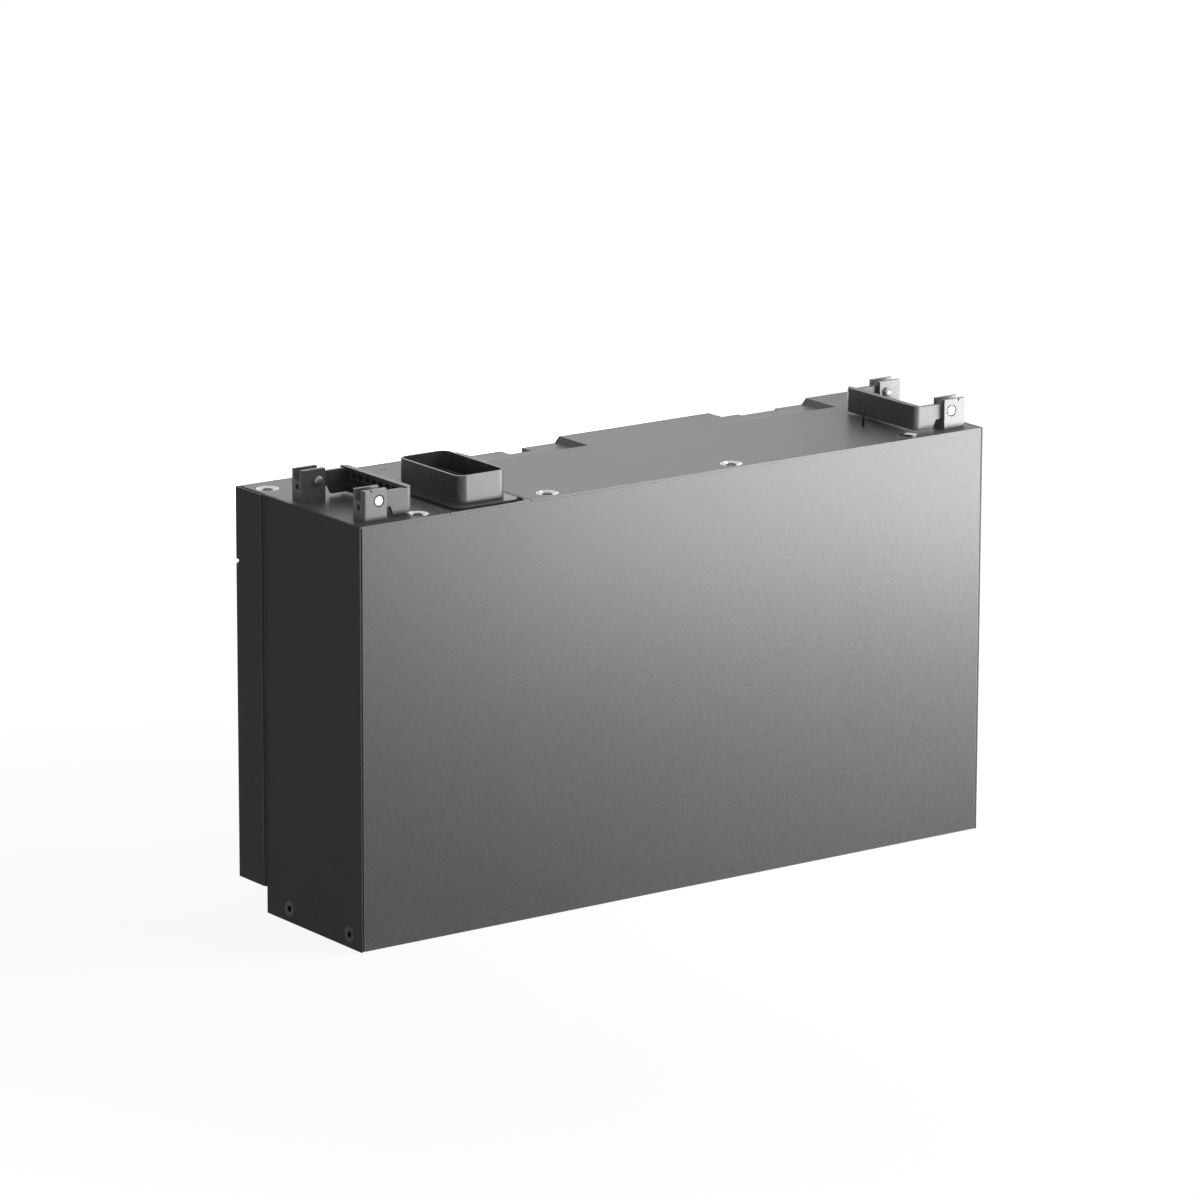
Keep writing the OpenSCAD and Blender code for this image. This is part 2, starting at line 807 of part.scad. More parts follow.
// Breathing and relief valve in the rear section's underside
module pressure_vent() {
    rim = 3;
    neck = sheet + 2;
    tip = 4;
    color("#1d1e20")
        translate([0, (y_step + y_back) / 2, rear_lift]) {
            translate([0, 0, -rim])
                cylinder(r = vent_r + rim, h = rim);
            translate([0, 0, -eps])
                cylinder(r = vent_r - screw_clear, h = neck);
            translate([0, 0, neck - 2 * eps])
                cylinder(r = 0.75 * vent_r, h = tip);
        }
}

// Connector

module connector_plate() {
    color("#54565a")
        difference() {
            block([conn_plate_cx - conn_plate_w / 2, y_front, z_under],
                  [conn_plate_cx + conn_plate_w / 2, y_front + conn_plate_l, z_top]);
            conn_column(channel_x, channel_y, collar_r, z_under - over, z_top + over);
        }
}

// Socket body that carries the collar, the seal and the shroud
module connector_base() {
    color("#161718")
        difference() {
            translate([0, base_rim / 2, 0])
                conn_column(base_x, base_y, collar_r, base_z, z_under);
            block([-x_side, y_front, base_z - over], [x_side, y_panel + seal_gap, z_top]);
        }
}

module connector_collar() {
    color("#242528")
        difference() {
            union() {
                conn_column(flange_x, flange_y, collar_r, z_under, z_top + flange_rise);
                conn_column(collar_w, collar_l, collar_r, z_under, z_top + collar_h);
            }
            difference() {
                conn_column(collar_in_x, collar_in_y, collar_in_r, z_under - over, z_top + collar_h + over);
                for (place = rib_places)
                    translate([conn_cx + collar_in_x / 2, conn_cy + place * collar_in_y, z_under - 2 * over])
                        cylinder(r = rib_size, h = cover_t + collar_h);
            }
        }
}

module connector_seal() {
    color("#0e0e0f")
        difference() {
            conn_column(channel_x - 2 * seal_gap, channel_y - 2 * seal_gap, collar_r, z_under,
                        z_top - seal_drop);
            conn_column(flange_x + 2 * seal_gap, flange_y + 2 * seal_gap, collar_r, z_under - over, z_top);
        }
}

module contact_shroud() {
    shroud_r = 4;
    color("#1b1c1e")
        difference() {
            conn_column(shroud_w, shroud_l, shroud_r, z_under, z_top + shroud_h);
            conn_column(shroud_w - 2 * shroud_wall, shroud_l - 2 * shroud_wall, shroud_r - shroud_wall,
                        z_top + shroud_floor, z_top + shroud_h + over);
        }
}

module power_contacts() {
    color("#c79a4b")
        for (side = [-1, 1])
            block([conn_cx - blade_t / 2, conn_cy + side * blade_y - blade_l / 2, z_top + shroud_floor],
                  [conn_cx + blade_t / 2, conn_cy + side * blade_y + blade_l / 2, z_top + shroud_h - 2]);
}

module signal_pins() {
    color("#d2ab5e")
        for (p = signal_places)
            translate([conn_cx + p[0], conn_cy + p[1], z_top + shroud_floor])
                cylinder(r = signal_r, h = shroud_h - shroud_floor - 3, $fn = 24);
}

// Posts and handles

// One post of the right side: slotted for a handle arm, with a stop block and a threaded hole outside
module post(y, flush_head) {
    pocket_y0 = post_wall;
    pocket_y1 = post_d - ear_t;
    color("#4d4f52")
        translate([post_in, y, z_top])
            difference() {
                union() {
                    difference() {
                        cube([post_l, post_d, post_h]);
                        translate([post_l - post_edge_r, 0, -over])
                            difference() {
                                translate([0, -over, 0])
                                    cube([post_edge_r + over, post_edge_r + over, post_h + 2 * over]);
                                translate([0, post_edge_r, -over])
                                    cylinder(r = post_edge_r, h = post_h + 4 * over);
                            }
                    }
                    translate([post_l / 2, post_d / 2, -stud_l])
                        cylinder(r = stud_r, h = stud_l + eps);
                }
                block([-over, pocket_y0, foot_h], [post_l - block_l, pocket_y1, post_h + over]);
                block([-over, pocket_y0, block_h], [post_l + over, pocket_y1, post_h + over]);
                rod_y(pin_r + pin_clear, post_l - pin_out, pin_z, -over, post_d + over);
                if (flush_head)
                    rod_y(sink_r, post_l - pin_out, pin_z, -over, sink_depth);
                if (flush_head)
                    block([post_l - notch_out - notch_w, -over, post_h - notch_depth],
                          [post_l - notch_out, post_wall + over, post_h + over]);
                rod_x(thread_r, post_d / 2, thread_z, post_l - thread_l, post_l + over);
            }
}

module post_front_right() {
    post(post_rows[0], true);
}

module post_rear_right() {
    post(post_rows[1], false);
}

module post_front_left() {
    mirror([1, 0, 0])
        post(post_rows[0], true);
}

module post_rear_left() {
    mirror([1, 0, 0])
        post(post_rows[1], false);
}

module post_plate_right() {
    color("#77797c")
        difference() {
            block([post_in - plate_margin, post_rows[0] + plate_margin / 2, z_under - sheet - plate_t],
                  [x_in, post_rows[1] + post_d + plate_margin, z_under - sheet]);
            for (y = post_rows)
                translate([stud_x, y + post_d / 2, z_under - sheet - plate_t - over])
                    cylinder(r = stud_r + screw_clear, h = plate_t + 2 * over);
        }
}

module post_plate_left() {
    mirror([1, 0, 0])
        post_plate_right();
}

module post_nuts() {
    color("#8d8f91")
        both_sides()
            for (y = post_rows)
                translate([stud_x, y + post_d / 2, z_under - sheet - plate_t - nut_h])
                    difference() {
                        cylinder(d = nut_w, h = nut_h, $fn = 6);
                        translate([0, 0, -over])
                            cylinder(r = stud_r + pin_clear, h = nut_h + 2 * over);
                    }
}

// Side view of a handle arm around its axis, x outwards
module arm_outline() {
    circle(tongue_r);
    polygon([
        [-reach - over, bar_low - pin_z],
        [-step_x - step_run, bar_low - pin_z],
        [-step_x, -tongue_r],
        [0, -tongue_r],
        [0, tongue_r - arm_drop],
        [-reach - over, tongue_r - arm_drop],
    ]);
}

module handle_arm(y0) {
    difference() {
        translate([pin_x, y0 + arm_t, pin_height])
            rotate([90, 0, 0])
                linear_extrude(arm_t)
                    arm_outline();
        rod_y(pin_r + pin_clear, pin_x, pin_height, y0 - over, y0 + arm_t + over);
    }
}

// Crossbar seen from above, with its two outer corners round
module bar_plan() {
    intersection() {
        translate([bar_x, bar_front])
            square([bar_t, bar_back - bar_front]);
        union() {
            translate([bar_x + bar_r, bar_front])
                square([bar_t, bar_back - bar_front]);
            translate([bar_x, bar_front + bar_r])
                square([bar_t, bar_back - bar_front - 2 * bar_r]);
            for (y = [bar_front + bar_r, bar_back - bar_r])
                translate([bar_x + bar_r, y])
                    circle(bar_r);
        }
    }
}

// Grid of blind cells in the crossbar's near face: wide ones above, narrow slots in pairs below
module grid_cells() {
    wide = grid_pitch - 2 * grid_rib;
    narrow = (grid_pitch - 2 * grid_rib) / 2;
    for (i = [0 : grid_cols - 1])
        for (row = [0 : 2])
            for (j = row == 2 ? [0] : [0, 1]) {
                w = row == 2 ? wide : narrow;
                y0 = bar_front + bar_r + i * grid_pitch + grid_rib / 2 + j * (narrow + grid_rib);
                z0 = z_top + bar_low + grid_rib + row * (grid_row_h + grid_rib);
                block([bar_x + bar_t - grid_depth, y0, z0],
                      [bar_x + bar_t + over, y0 + w, z0 + grid_row_h]);
            }
}

module handle_right() {
    color("#232427") {
        for (y = post_rows)
            handle_arm(y + post_wall + arm_gap);
        difference() {
            translate([0, 0, z_top + bar_low])
                linear_extrude(bar_h)
                    bar_plan();
            difference() {
                grid_cells();
                for (y = post_rows)
                    translate([bar_x, y + post_wall + arm_gap, z_top])
                        cube([bar_t + 2 * over, arm_t, bar_top]);
            }
        }
    }
}

module handle_left() {
    mirror([1, 0, 0])
        handle_right();
}

// Front pins end in a flat head that lies flush in its sink
module front_pins() {
    color("#e4e5e6")
        both_sides() {
            rod_y(pin_head_r, pin_x, pin_height, post_rows[0] + 0.1, post_rows[0] + sink_depth);
            rod_y(pin_r, pin_x, pin_height, post_rows[0] + sink_depth - eps, post_rows[0] + post_d);
        }
}

// Rear pins end in a domed tail in front of the post
module rear_pins() {
    dome_r = (tail_r * tail_r + tail_l * tail_l / 4) / tail_l;
    color("#cfd0d2")
        both_sides() {
            rod_y(pin_r, pin_x, pin_height, post_rows[1] - eps, post_rows[1] + post_d);
            intersection() {
                rod_y(tail_r, pin_x, pin_height, post_rows[1] - tail_l, post_rows[1]);
                translate([pin_x, post_rows[1] - tail_l + dome_r, pin_height])
                    sphere(dome_r);
            }
        }
}

// Sleeves that keep the arms against the posts' front walls
module pivot_sleeves() {
    sleeve_wall = 2;
    y0 = post_wall + 2 * arm_gap + arm_t;
    y1 = post_d - ear_t - arm_gap / 2;
    color("#9a9c9e")
        both_sides()
            for (y = post_rows)
                difference() {
                    rod_y(pin_r + sleeve_wall, pin_x, pin_height, y + y0, y + y1);
                    rod_y(pin_r + pin_clear, pin_x, pin_height, y + y0 - over, y + y1 + over);
                }
}

// Upright earth contact blade beside the right handle
module earth_blade() {
    foot = 5;
    foot_t = 1.5;
    color("#5c5d5f") {
        block(earth_low, earth_high);
        block([earth_x - foot, earth_y - foot, z_under - foot_t],
              [earth_x + earth_w + foot, earth_y + earth_t + foot, z_under]);
    }
}

// Screws

module screw_cups() {
    color("#d8d9da")
        for (p = top_screw_places)
            translate([p[0], p[1], seat_z])
                difference() {
                    cylinder(r1 = cup_flat_r, r2 = cup_r, h = cup_depth);
                    translate([0, 0, cup_t])
                        cylinder(r1 = cup_flat_r - cup_t / 2, r2 = cup_r - cup_t,
                                 h = cup_depth - cup_t + eps);
                    translate([0, 0, -over])
                        cylinder(r = shank_r + screw_clear, h = cup_depth);
                }
}

module top_screws() {
    color("#3a3b3d")
        for (p = top_screw_places)
            translate([p[0], p[1], seat_z + cup_t])
                difference() {
                    union() {
                        cylinder(r = head_r, h = head_h);
                        translate([0, 0, -shank_l])
                            cylinder(r = shank_r, h = shank_l + eps);
                    }
                    translate([0, 0, head_h - socket_depth])
                        cylinder(r = socket_r, h = socket_depth + over, $fn = 6);
                }
}

// Brass-coloured cores in the sockets of the top screws
module screw_cores() {
    color("#c9a86a")
        for (p = top_screw_places)
            translate([p[0], p[1], seat_z + cup_t + head_h - socket_depth])
                cylinder(r = core_r, h = core_h);
}

module side_screws() {
    color("#2c2d2f")
        both_sides()
            for (y = side_screw_rows)
                difference() {
                    union() {
                        rod_x(thread_r - pin_clear, y, side_screw_z, boss_end, x_side - side_head_l + eps);
                        translate([x_side - side_head_l, y, side_screw_z])
                            rotate([0, 90, 0])
                                cylinder(r1 = thread_r - pin_clear, r2 = side_head_r, h = side_head_l);
                    }
                    translate([x_side - side_socket_depth, y, side_screw_z])
                        rotate([0, 90, 0])
                            cylinder(r = side_socket_r, h = side_socket_depth + over, $fn = 6);
                }
}

// Plug in the underside

module plug_body() {
    color("#161718")
        difference() {
            union() {
                conn_column(plug_x, plug_y, plug_r, plug_low, pan_h);
                conn_column(shoulder_x, shoulder_y, collar_r, shoulder_z, z_pan + eps);
                conn_column(plug_flange_x, plug_flange_y, collar_r, z_pan, z_pan + plug_flange_t);
            }
            conn_column(cavity_x, cavity_y, plug_r, plug_low - over, cavity_top);
            for (place = rib_places)
                translate([conn_cx + plug_x / 2, conn_cy + place * collar_in_y, plug_low - over])
                    cylinder(r = rib_size + plug_clear, h = collar_h - plug_low + 2 * over);
        }
}

module plug_seal() {
    color("#0e0e0f")
        difference() {
            conn_column(shoulder_x, shoulder_y, collar_r, shoulder_z - plug_seal_t, shoulder_z);
            conn_column(plug_x + 2 * seal_gap, plug_y + 2 * seal_gap, plug_r,
                        shoulder_z - plug_seal_t - over, shoulder_z + over);
        }
}

// Spring jaws that grip the power contacts of the module below
module plug_contacts() {
    jaw_t = 2;
    jaw_gap = 0.5;
    color("#c79a4b")
        for (side = [-1, 1])
            for (jaw = [-1, 1])
                translate([conn_cx + jaw * (blade_t / 2 + jaw_gap + jaw_t / 2), conn_cy + side * blade_y, 0])
                    block([-jaw_t / 2, -blade_l / 2, shroud_floor + 2],
                          [jaw_t / 2, blade_l / 2, cavity_top]);
}

// Cells

module cell_tray() {
    lip = 10;
    color("#a9adb0") {
        block([stack_x0, stack_y0, z_pan], [stack_x1, stack_y1, tray_z]);
        for (y = [stack_y0 - strap_t - tray_t, stack_y1 + strap_t])
            block([stack_x0, y, z_pan], [stack_x1, y + tray_t, tray_z + lip]);
        for (y = [stack_y0 - strap_t - tray_t, stack_y1 - eps])
            block([stack_x0, y, z_pan], [stack_x1, y + strap_t + tray_t + eps, tray_z - over]);
    }
}

module cell_row(z) {
    for (i = [0 : tier_cells - 1])
        block([cells_x0 + i * cell_step, stack_y0, z],
              [cells_x0 + i * cell_step + cell_t, stack_y1, z + cell_h]);
}

module cells_lower() {
    color("#2f5f9e")
        cell_row(tiers[0]);
}

module cells_upper() {
    color("#2f5f9e")
        cell_row(tiers[1]);
}

// Middle of one cell along x
function cell_mid(i) = cells_x0 + i * cell_step + cell_t / 2;

module cell_terminals() {
    color("#c9cbcd")
        for (z = tiers)
            for (i = [0 : tier_cells - 1])
                for (side = [-1, 1])
                    translate([cell_mid(i), stack_y + side * terminal_y, z + cell_h])
                        cylinder(r = terminal_r, h = terminal_h);
}

module cell_spacers() {
    inset = 2;
    color("#e8e4d2")
        for (z = tiers)
            for (i = [0 : tier_cells])
                block([cells_x0 + i * cell_step - spacer_t, stack_y0 + inset, z],
                      [cells_x0 + i * cell_step, stack_y1 - inset, z + cell_h - inset]);
}

module end_plates() {
    color("#b4b7ba")
        for (z = tiers)
            for (x = [stack_x0, stack_x1 - end_t])
                block([x, stack_y0, z], [x + end_t, stack_y1, z + cell_h + bar_room]);
}

module tie_straps() {
    color("#9da0a3")
        for (z = tiers)
            for (y = [stack_y0 - strap_t, stack_y1])
                for (share = [0.25, 0.75])
                    block([stack_x0, y, z + share * cell_h - strap_h / 2],
                          [stack_x1, y + strap_t, z + share * cell_h + strap_h / 2]);
}

module tier_plate() {
    color("#a9adb0")
        block([stack_x0, stack_y0, tiers[1] - tray_t], [stack_x1, stack_y1, tiers[1]]);
}

// Copper links that join neighbouring cells in series, alternating between the two terminal rows
module busbars() {
    color("#b87333")
        for (z = tiers)
            for (i = [0 : tier_cells - 2]) {
                y = stack_y + (i % 2 == 0 ? 1 : -1) * terminal_y;
                block([cell_mid(i) - terminal_r, y - busbar_w / 2, z + bar_z],
                      [cell_mid(i + 1) + terminal_r, y + busbar_w / 2, z + bar_z + busbar_t]);
            }
}

// Flat sensing strips along the middle of each tier
module sense_strips() {
    strip_w = 18;
    strip_t = 0.8;
    color("#b0742c")
        for (z = tiers)
            block([cell_mid(0), stack_y - strip_w / 2, z + cell_h],
                  [cell_mid(tier_cells - 1), stack_y + strip_w / 2, z + cell_h + strip_t]);
}

// Lid over the cells, with two saddles for the extinguishing canister
module cell_lid() {
    color("#e3e3df")
        difference() {
            union() {
                block([stack_x0, stack_y0, lid_z], [stack_x1, stack_y1, lid_z + tray_t]);
                for (x = [can_x0 + saddle_w, can_x0 + can_l - 2 * saddle_w])
                    block([x, stack_y - can_r - saddle_t, lid_z + tray_t - eps],
                          [x + saddle_w, stack_y + can_r + saddle_t, lid_z + tray_t + can_r]);
            }
            rod_x(can_r, stack_y, can_z, can_x0 - over, can_x0 + can_l + over);
        }
}

module extinguisher() {
    color("#c4382c") {
        rod_x(can_r, stack_y, can_z, can_x0, can_x0 + can_l);
        rod_x(can_r / 2, stack_y, can_z, can_x0 - can_r / 3, can_x0 + eps);
    }
}

// Corner places of a board
function corners(low, high, inset) = [
    for (x = [low[0] + inset, high[0] - inset])
        for (y = [low[1] + inset, high[1] - inset])
            [x, y]
];

module bms_board() {
    color("#1f6b3a")
        block([bms_low[0], bms_low[1], bms_z], [bms_high[0], bms_high[1], bms_z + board_t]);
}

// Low chips in a row along the board and higher plug bodies along its back edge
module bms_parts() {
    chips = 4;
    plugs = 3;
    chip_h = 3;
    plug_h = 9;
    chip_pitch = bms_l / (chips + 0.5);
    plug_pitch = bms_l / (plugs + 0.5);
    z0 = bms_z + board_t;
    color("#26272a") {
        for (i = [0 : chips - 1]) {
            x = bms_x0 + (i + 0.5) * chip_pitch;
            block([x, stack_y - 0.12 * bms_w, z0],
                  [x + 0.4 * chip_pitch, stack_y + 0.06 * bms_w, z0 + chip_h]);
        }
        for (i = [0 : plugs - 1]) {
            x = bms_x0 + (i + 0.5) * plug_pitch;
            block([x, stack_y + 0.3 * bms_w, z0],
                  [x + 0.6 * plug_pitch, stack_y + 0.43 * bms_w, z0 + plug_h]);
        }
    }
}

// Electronics bay

module bay_plate() {
    color("#8f9295") {
        block([bay_x0, bay_front, z_pan], [bay_x1, bay_back, z_pan + bay_h]);
        block([bay_x0, bay_front - foot_w, z_pan], [bay_x1, bay_front + eps, z_pan + bay_t]);
    }
}

module heat_sink() {
    sink_x0 = bay_x0 + sink_inset;
    sink_x1 = bay_x1 - sink_inset;
    sink_base = 5;
    fin_pitch = (sink_x1 - sink_x0 - fin_t) / (fin_count - 1);
    color("#a2a5a8") {
        block([sink_x0, bay_back, sink_low_z], [sink_x1, bay_back + sink_base, z_pan + bay_h - sink_inset]);
        for (i = [0 : fin_count - 1])
            block([sink_x0 + i * fin_pitch, bay_back + sink_base - eps, sink_low_z],
                  [sink_x0 + i * fin_pitch + fin_t, bay_back + sink_d, z_pan + bay_h - sink_inset]);
    }
}

module board_spacers() {
    color("#c2c4c6") {
        for (p = corners(board_low, board_high, standoff_inset))
            rod_y(standoff_r, p[0], p[1], board_back, bay_front);
        for (p = corners(bms_low, bms_high, 2 * standoff_r))
            translate([p[0], p[1], lid_z + tray_t])
                cylinder(r = standoff_r, h = bms_lift);
    }
}

module converter_board() {
    color("#1f6b3a")
        block([board_low[0], board_front, board_low[1]], [board_high[0], board_back, board_high[1]]);
}

// Wound coils in a row across the upper part of the converter board
module coils() {
    count = 3;
    pitch = board_w / count;
    z = board_low[1] + 0.78 * board_h;
    color("#b36b34")
        for (i = [0 : count - 1])
            difference() {
                rod_y(coil_r, board_low[0] + (i + 0.5) * pitch, z, board_front - part_h, board_front);
                rod_y(coil_r / 2, board_low[0] + (i + 0.5) * pitch, z, board_front - part_h - over,
                      board_front + over);
            }
}

// Two rows of round capacitors across the lower part of the converter board
module capacitors() {
    count = 5;
    pitch = board_w / count;
    color("#2b3a4f")
        for (i = [0 : count - 1])
            for (share = [0.2, 0.35])
                rod_y(cap_r, board_low[0] + (i + 0.5) * pitch, board_low[1] + share * board_h,
                      board_front - part_h, board_front);
}

module contactor() {
    low = [contactor_x0, contactor_y0, z_pan];
    color("#33353a") {
        block(low, low + contactor_size);
        for (share = stud_shares)
            translate([
                low[0] + share * contactor_size[0],
                low[1] + contactor_size[1] / 2,
                low[2] + contactor_size[2] - eps,
            ])
                cylinder(r = contactor_stud_h, h = contactor_stud_h);
    }
}

module main_fuse() {
    color("#d8cfae") {
        rod_x(fuse_r, fuse_y, fuse_z, fuse_x0, fuse_x1);
        block([fuse_x0 + fuse_r, fuse_y - fuse_r, z_pan + bay_t],
              [fuse_x1 - fuse_r, fuse_y + fuse_r, fuse_z]);
    }
}

module current_shunt() {
    color("#b58a45")
        block([shunt_x1 - shunt_size[0], fuse_y - shunt_size[1] / 2, z_pan + bay_t],
              [shunt_x1, fuse_y + shunt_size[1] / 2, z_pan + bay_t + shunt_size[2]]);
}

// Round corner between two runs of a branch lead
module branch_corner(place) {
    translate(place)
        sphere(branch_r);
}

// Through leads from the socket down to the plug, and branches to the contactor, the fuse and the cells
module power_leads() {
    contactor_y = contactor_y0 + contactor_size[1] / 2;
    contactor_top = z_pan + contactor_size[2] + contactor_stud_h;
    color("#c2471f") {
        for (p = lead_places)
            translate([p[0], p[1], z_pan + plug_flange_t])
                cylinder(r = lead_r, h = base_z - z_pan - plug_flange_t);
        for (i = [0, 1]) {
            x = contactor_x0 + stud_shares[i] * contactor_size[0];
            z = branch_z + i * branch_step;
            translate([x, contactor_y, contactor_top])
                cylinder(r = branch_r, h = z - contactor_top);
            branch_corner([x, contactor_y, z]);
            rod_y(branch_r, x, z, contactor_y, lead_y);
            branch_corner([x, lead_y, z]);
            rod_x(branch_r, lead_y, z, x, lead_places[i][0]);
        }
        rod_x(branch_r, fuse_y, fuse_z, fuse_x1, stack_x0);
    }
}

// Signal leads from the socket to the management board
module signal_harness() {
    drop = 12;
    x = bms_x0 + 3 * harness_r;
    y = stack_y - bms_w / 2 + 2 * harness_r;
    z = base_z - drop;
    color("#e0e0e0") {
        translate([conn_cx, y, z])
            cylinder(r = harness_r, h = drop);
        translate([conn_cx, y, z])
            sphere(harness_r);
        rod_x(harness_r, y, z, conn_cx, x);
        translate([x, y, z])
            sphere(harness_r);
        translate([x, y, bms_z + board_t])
            cylinder(r = harness_r, h = z - bms_z - board_t);
    }
}

housing_shell();
front_panel();
rear_cover();
top_cover();
bottom_pan();
connector_plate();
connector_base();
connector_collar();
connector_seal();
contact_shroud();
power_contacts();
signal_pins();
post_front_left();
post_front_right();
post_rear_left();
post_rear_right();
post_nuts();
post_plate_left();
post_plate_right();
handle_left();
handle_right();
front_pins();
rear_pins();
pivot_sleeves();
screw_cups();
top_screws();
screw_cores();
side_screws();
earth_blade();
plug_body();
plug_seal();
plug_contacts();
pressure_vent();
cell_tray();
cells_lower();
cells_upper();
cell_terminals();
cell_spacers();
end_plates();
tie_straps();
tier_plate();
busbars();
sense_strips();
cell_lid();
bms_board();
bms_parts();
bay_plate();
heat_sink();
board_spacers();
converter_board();
coils();
capacitors();
contactor();
main_fuse();
current_shunt();
power_leads();
signal_harness();
extinguisher();
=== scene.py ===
"""Dresses the packed home battery module: coated sheets, cast and moulded fittings, and a studio stage.

Lengths are in metres, in the frame of the packed model: x to the right, y to the back, z up.
"""

import json
import math

import bmesh
import bpy
import numpy as np
from bpy.props import FloatProperty, FloatVectorProperty, IntProperty, PointerProperty
from mathutils import Euler, Matrix, Vector

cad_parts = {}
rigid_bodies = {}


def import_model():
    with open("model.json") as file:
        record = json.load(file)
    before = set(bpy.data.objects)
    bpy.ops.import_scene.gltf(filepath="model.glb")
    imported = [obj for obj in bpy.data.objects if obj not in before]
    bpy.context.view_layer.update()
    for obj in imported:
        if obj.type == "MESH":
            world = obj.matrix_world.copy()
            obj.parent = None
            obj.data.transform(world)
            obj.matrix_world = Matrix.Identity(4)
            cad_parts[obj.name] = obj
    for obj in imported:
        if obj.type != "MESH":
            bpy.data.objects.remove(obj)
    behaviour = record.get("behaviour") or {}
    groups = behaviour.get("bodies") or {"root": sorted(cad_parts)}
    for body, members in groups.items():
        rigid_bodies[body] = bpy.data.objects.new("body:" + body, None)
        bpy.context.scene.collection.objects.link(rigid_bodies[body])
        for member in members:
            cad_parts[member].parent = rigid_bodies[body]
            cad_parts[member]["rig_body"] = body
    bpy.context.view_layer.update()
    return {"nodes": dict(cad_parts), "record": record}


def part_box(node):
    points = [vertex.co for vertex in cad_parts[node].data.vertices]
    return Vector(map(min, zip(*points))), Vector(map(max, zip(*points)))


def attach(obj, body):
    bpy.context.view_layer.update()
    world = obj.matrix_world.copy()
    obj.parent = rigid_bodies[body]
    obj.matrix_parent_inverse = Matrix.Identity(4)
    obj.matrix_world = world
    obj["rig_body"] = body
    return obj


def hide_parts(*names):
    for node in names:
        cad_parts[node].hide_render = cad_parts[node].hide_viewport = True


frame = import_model()
NODES = frame["nodes"]
SLOTS = {row["node"]: row["material_slot"] for row in frame["record"]["subparts"]}
BODIES = {node: str(obj["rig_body"]) for node, obj in NODES.items()}
MM = 0.001
CAD_WELD = 0.002 * MM
SURFACE_WELD = 0.0002 * MM

bl_info = {
    "name": "Home battery module",
    "version": (1, 0, 0),
    "blender": (4, 5, 0),
    "location": "View3D > Sidebar > Battery",
    "description": "Finishes and fine parts of a stackable home battery module",
    "category": "Object",
}


def size(name, value, about):
    """A length that the sidebar shows in the scene's units."""
    return FloatProperty(name=name, default=value, description=about, unit="LENGTH", min=0, precision=5)


def share(name, value, about):
    """A share between nothing and all."""
    return FloatProperty(name=name, default=value, description=about, subtype="FACTOR", min=0, max=1)


def colour(name, value, about):
    """A linear colour."""
    return FloatVectorProperty(name=name, default=value, description=about, subtype="COLOR", min=0, max=1)


def grey(name, value, about):
    """A linear colour without a tint."""
    return colour(name, (value, value, value), about)


def power(name, value, about):
    """The power of a lamp, in watts."""
    return FloatProperty(name=name, default=value, description=about, subtype="POWER", min=0)


def angle(name, degrees, about):
    """An angle, given in degrees."""
    return FloatProperty(name=name, default=math.radians(degrees), description=about, subtype="ANGLE")


class BATTERY_PG_casing(bpy.types.PropertyGroup):
    """Coated sheets"""

    edge: size("Sheet edge", 0.7 * MM, "Rounding of the sheets' edges")
    # rim: how much lighter the coat on the rounded edges is painted, a painted highlight along every edge
    rim: FloatProperty(
        name="Edge tone", default=3.4, description="How much lighter the thin coat on an edge is", min=1
    )
    gap_left: size("Left joint", 0.7 * MM, "How far the front panel stands back from its left frame edge")
    gap_right: size("Right joint", 0.45 * MM, "How far the front panel reaches towards its right frame edge")
    grain: size("Grain", 0.9 * MM, "Width of one lump in the powder coat")
    gloss: share("Roughness", 0.38, "Roughness of the powder coat")
    sheen: share("Shine", 0.35, "Specular level of the powder coat")
    panel: grey("Front panel", 0.112, "Coat of the front panel")
    cover: grey("Top cover", 0.112, "Coat of the top cover")
    case: grey("Sides and back", 0.114, "Coat of the side and rear sheets")
    pan: grey("Pan", 0.030, "Coat of the pan above the skirt")


class BATTERY_PG_fittings(bpy.types.PropertyGroup):
    """Posts, handles and connector"""

    post_edge: size("Post edge", 0.55 * MM, "Rounding of the posts' edges")
    handle_edge: size("Handle edge", 0.55 * MM, "Rounding of the handles' edges")
    collar_edge: size("Collar edge", 0.6 * MM, "Rounding of the collar's edges")
    post: grey("Posts", 0.240, "Coat of the cast posts")
    handle: grey("Handles", 0.145, "Coat of the cast handles")
    collar: grey("Collar", 0.145, "Coat of the cast collar")
    black: grey("Black plastic", 0.012, "Sockets, shroud and plug")
    rubber: grey("Rubber", 0.010, "Seals")
    ridge: size("Seal ridge", 0.5 * MM, "Height of the two ridges on a seal")


class BATTERY_PG_metal(bpy.types.PropertyGroup):
    """Bare and plated metal"""

    sides: IntProperty(name="Sides", default=72, min=24, max=144, description="Faces round a turned part")
    steel: grey("Bright steel", 0.36, "Pins")
    cup: grey("Cup steel", 0.62, "Screw cups")
    dark: grey("Black steel", 0.018, "Screws and earth blade")
    zinc: colour("Zinc", (0.42, 0.43, 0.44), "Plated plates, nuts and tray")
    brass: colour("Brass", (0.62, 0.44, 0.20), "Contacts and spacers")
    copper: colour("Copper", (0.62, 0.27, 0.13), "Busbars and shunt")
    alloy: colour("Aluminium", (0.60, 0.61, 0.62), "Terminals, end plates and heat sink")


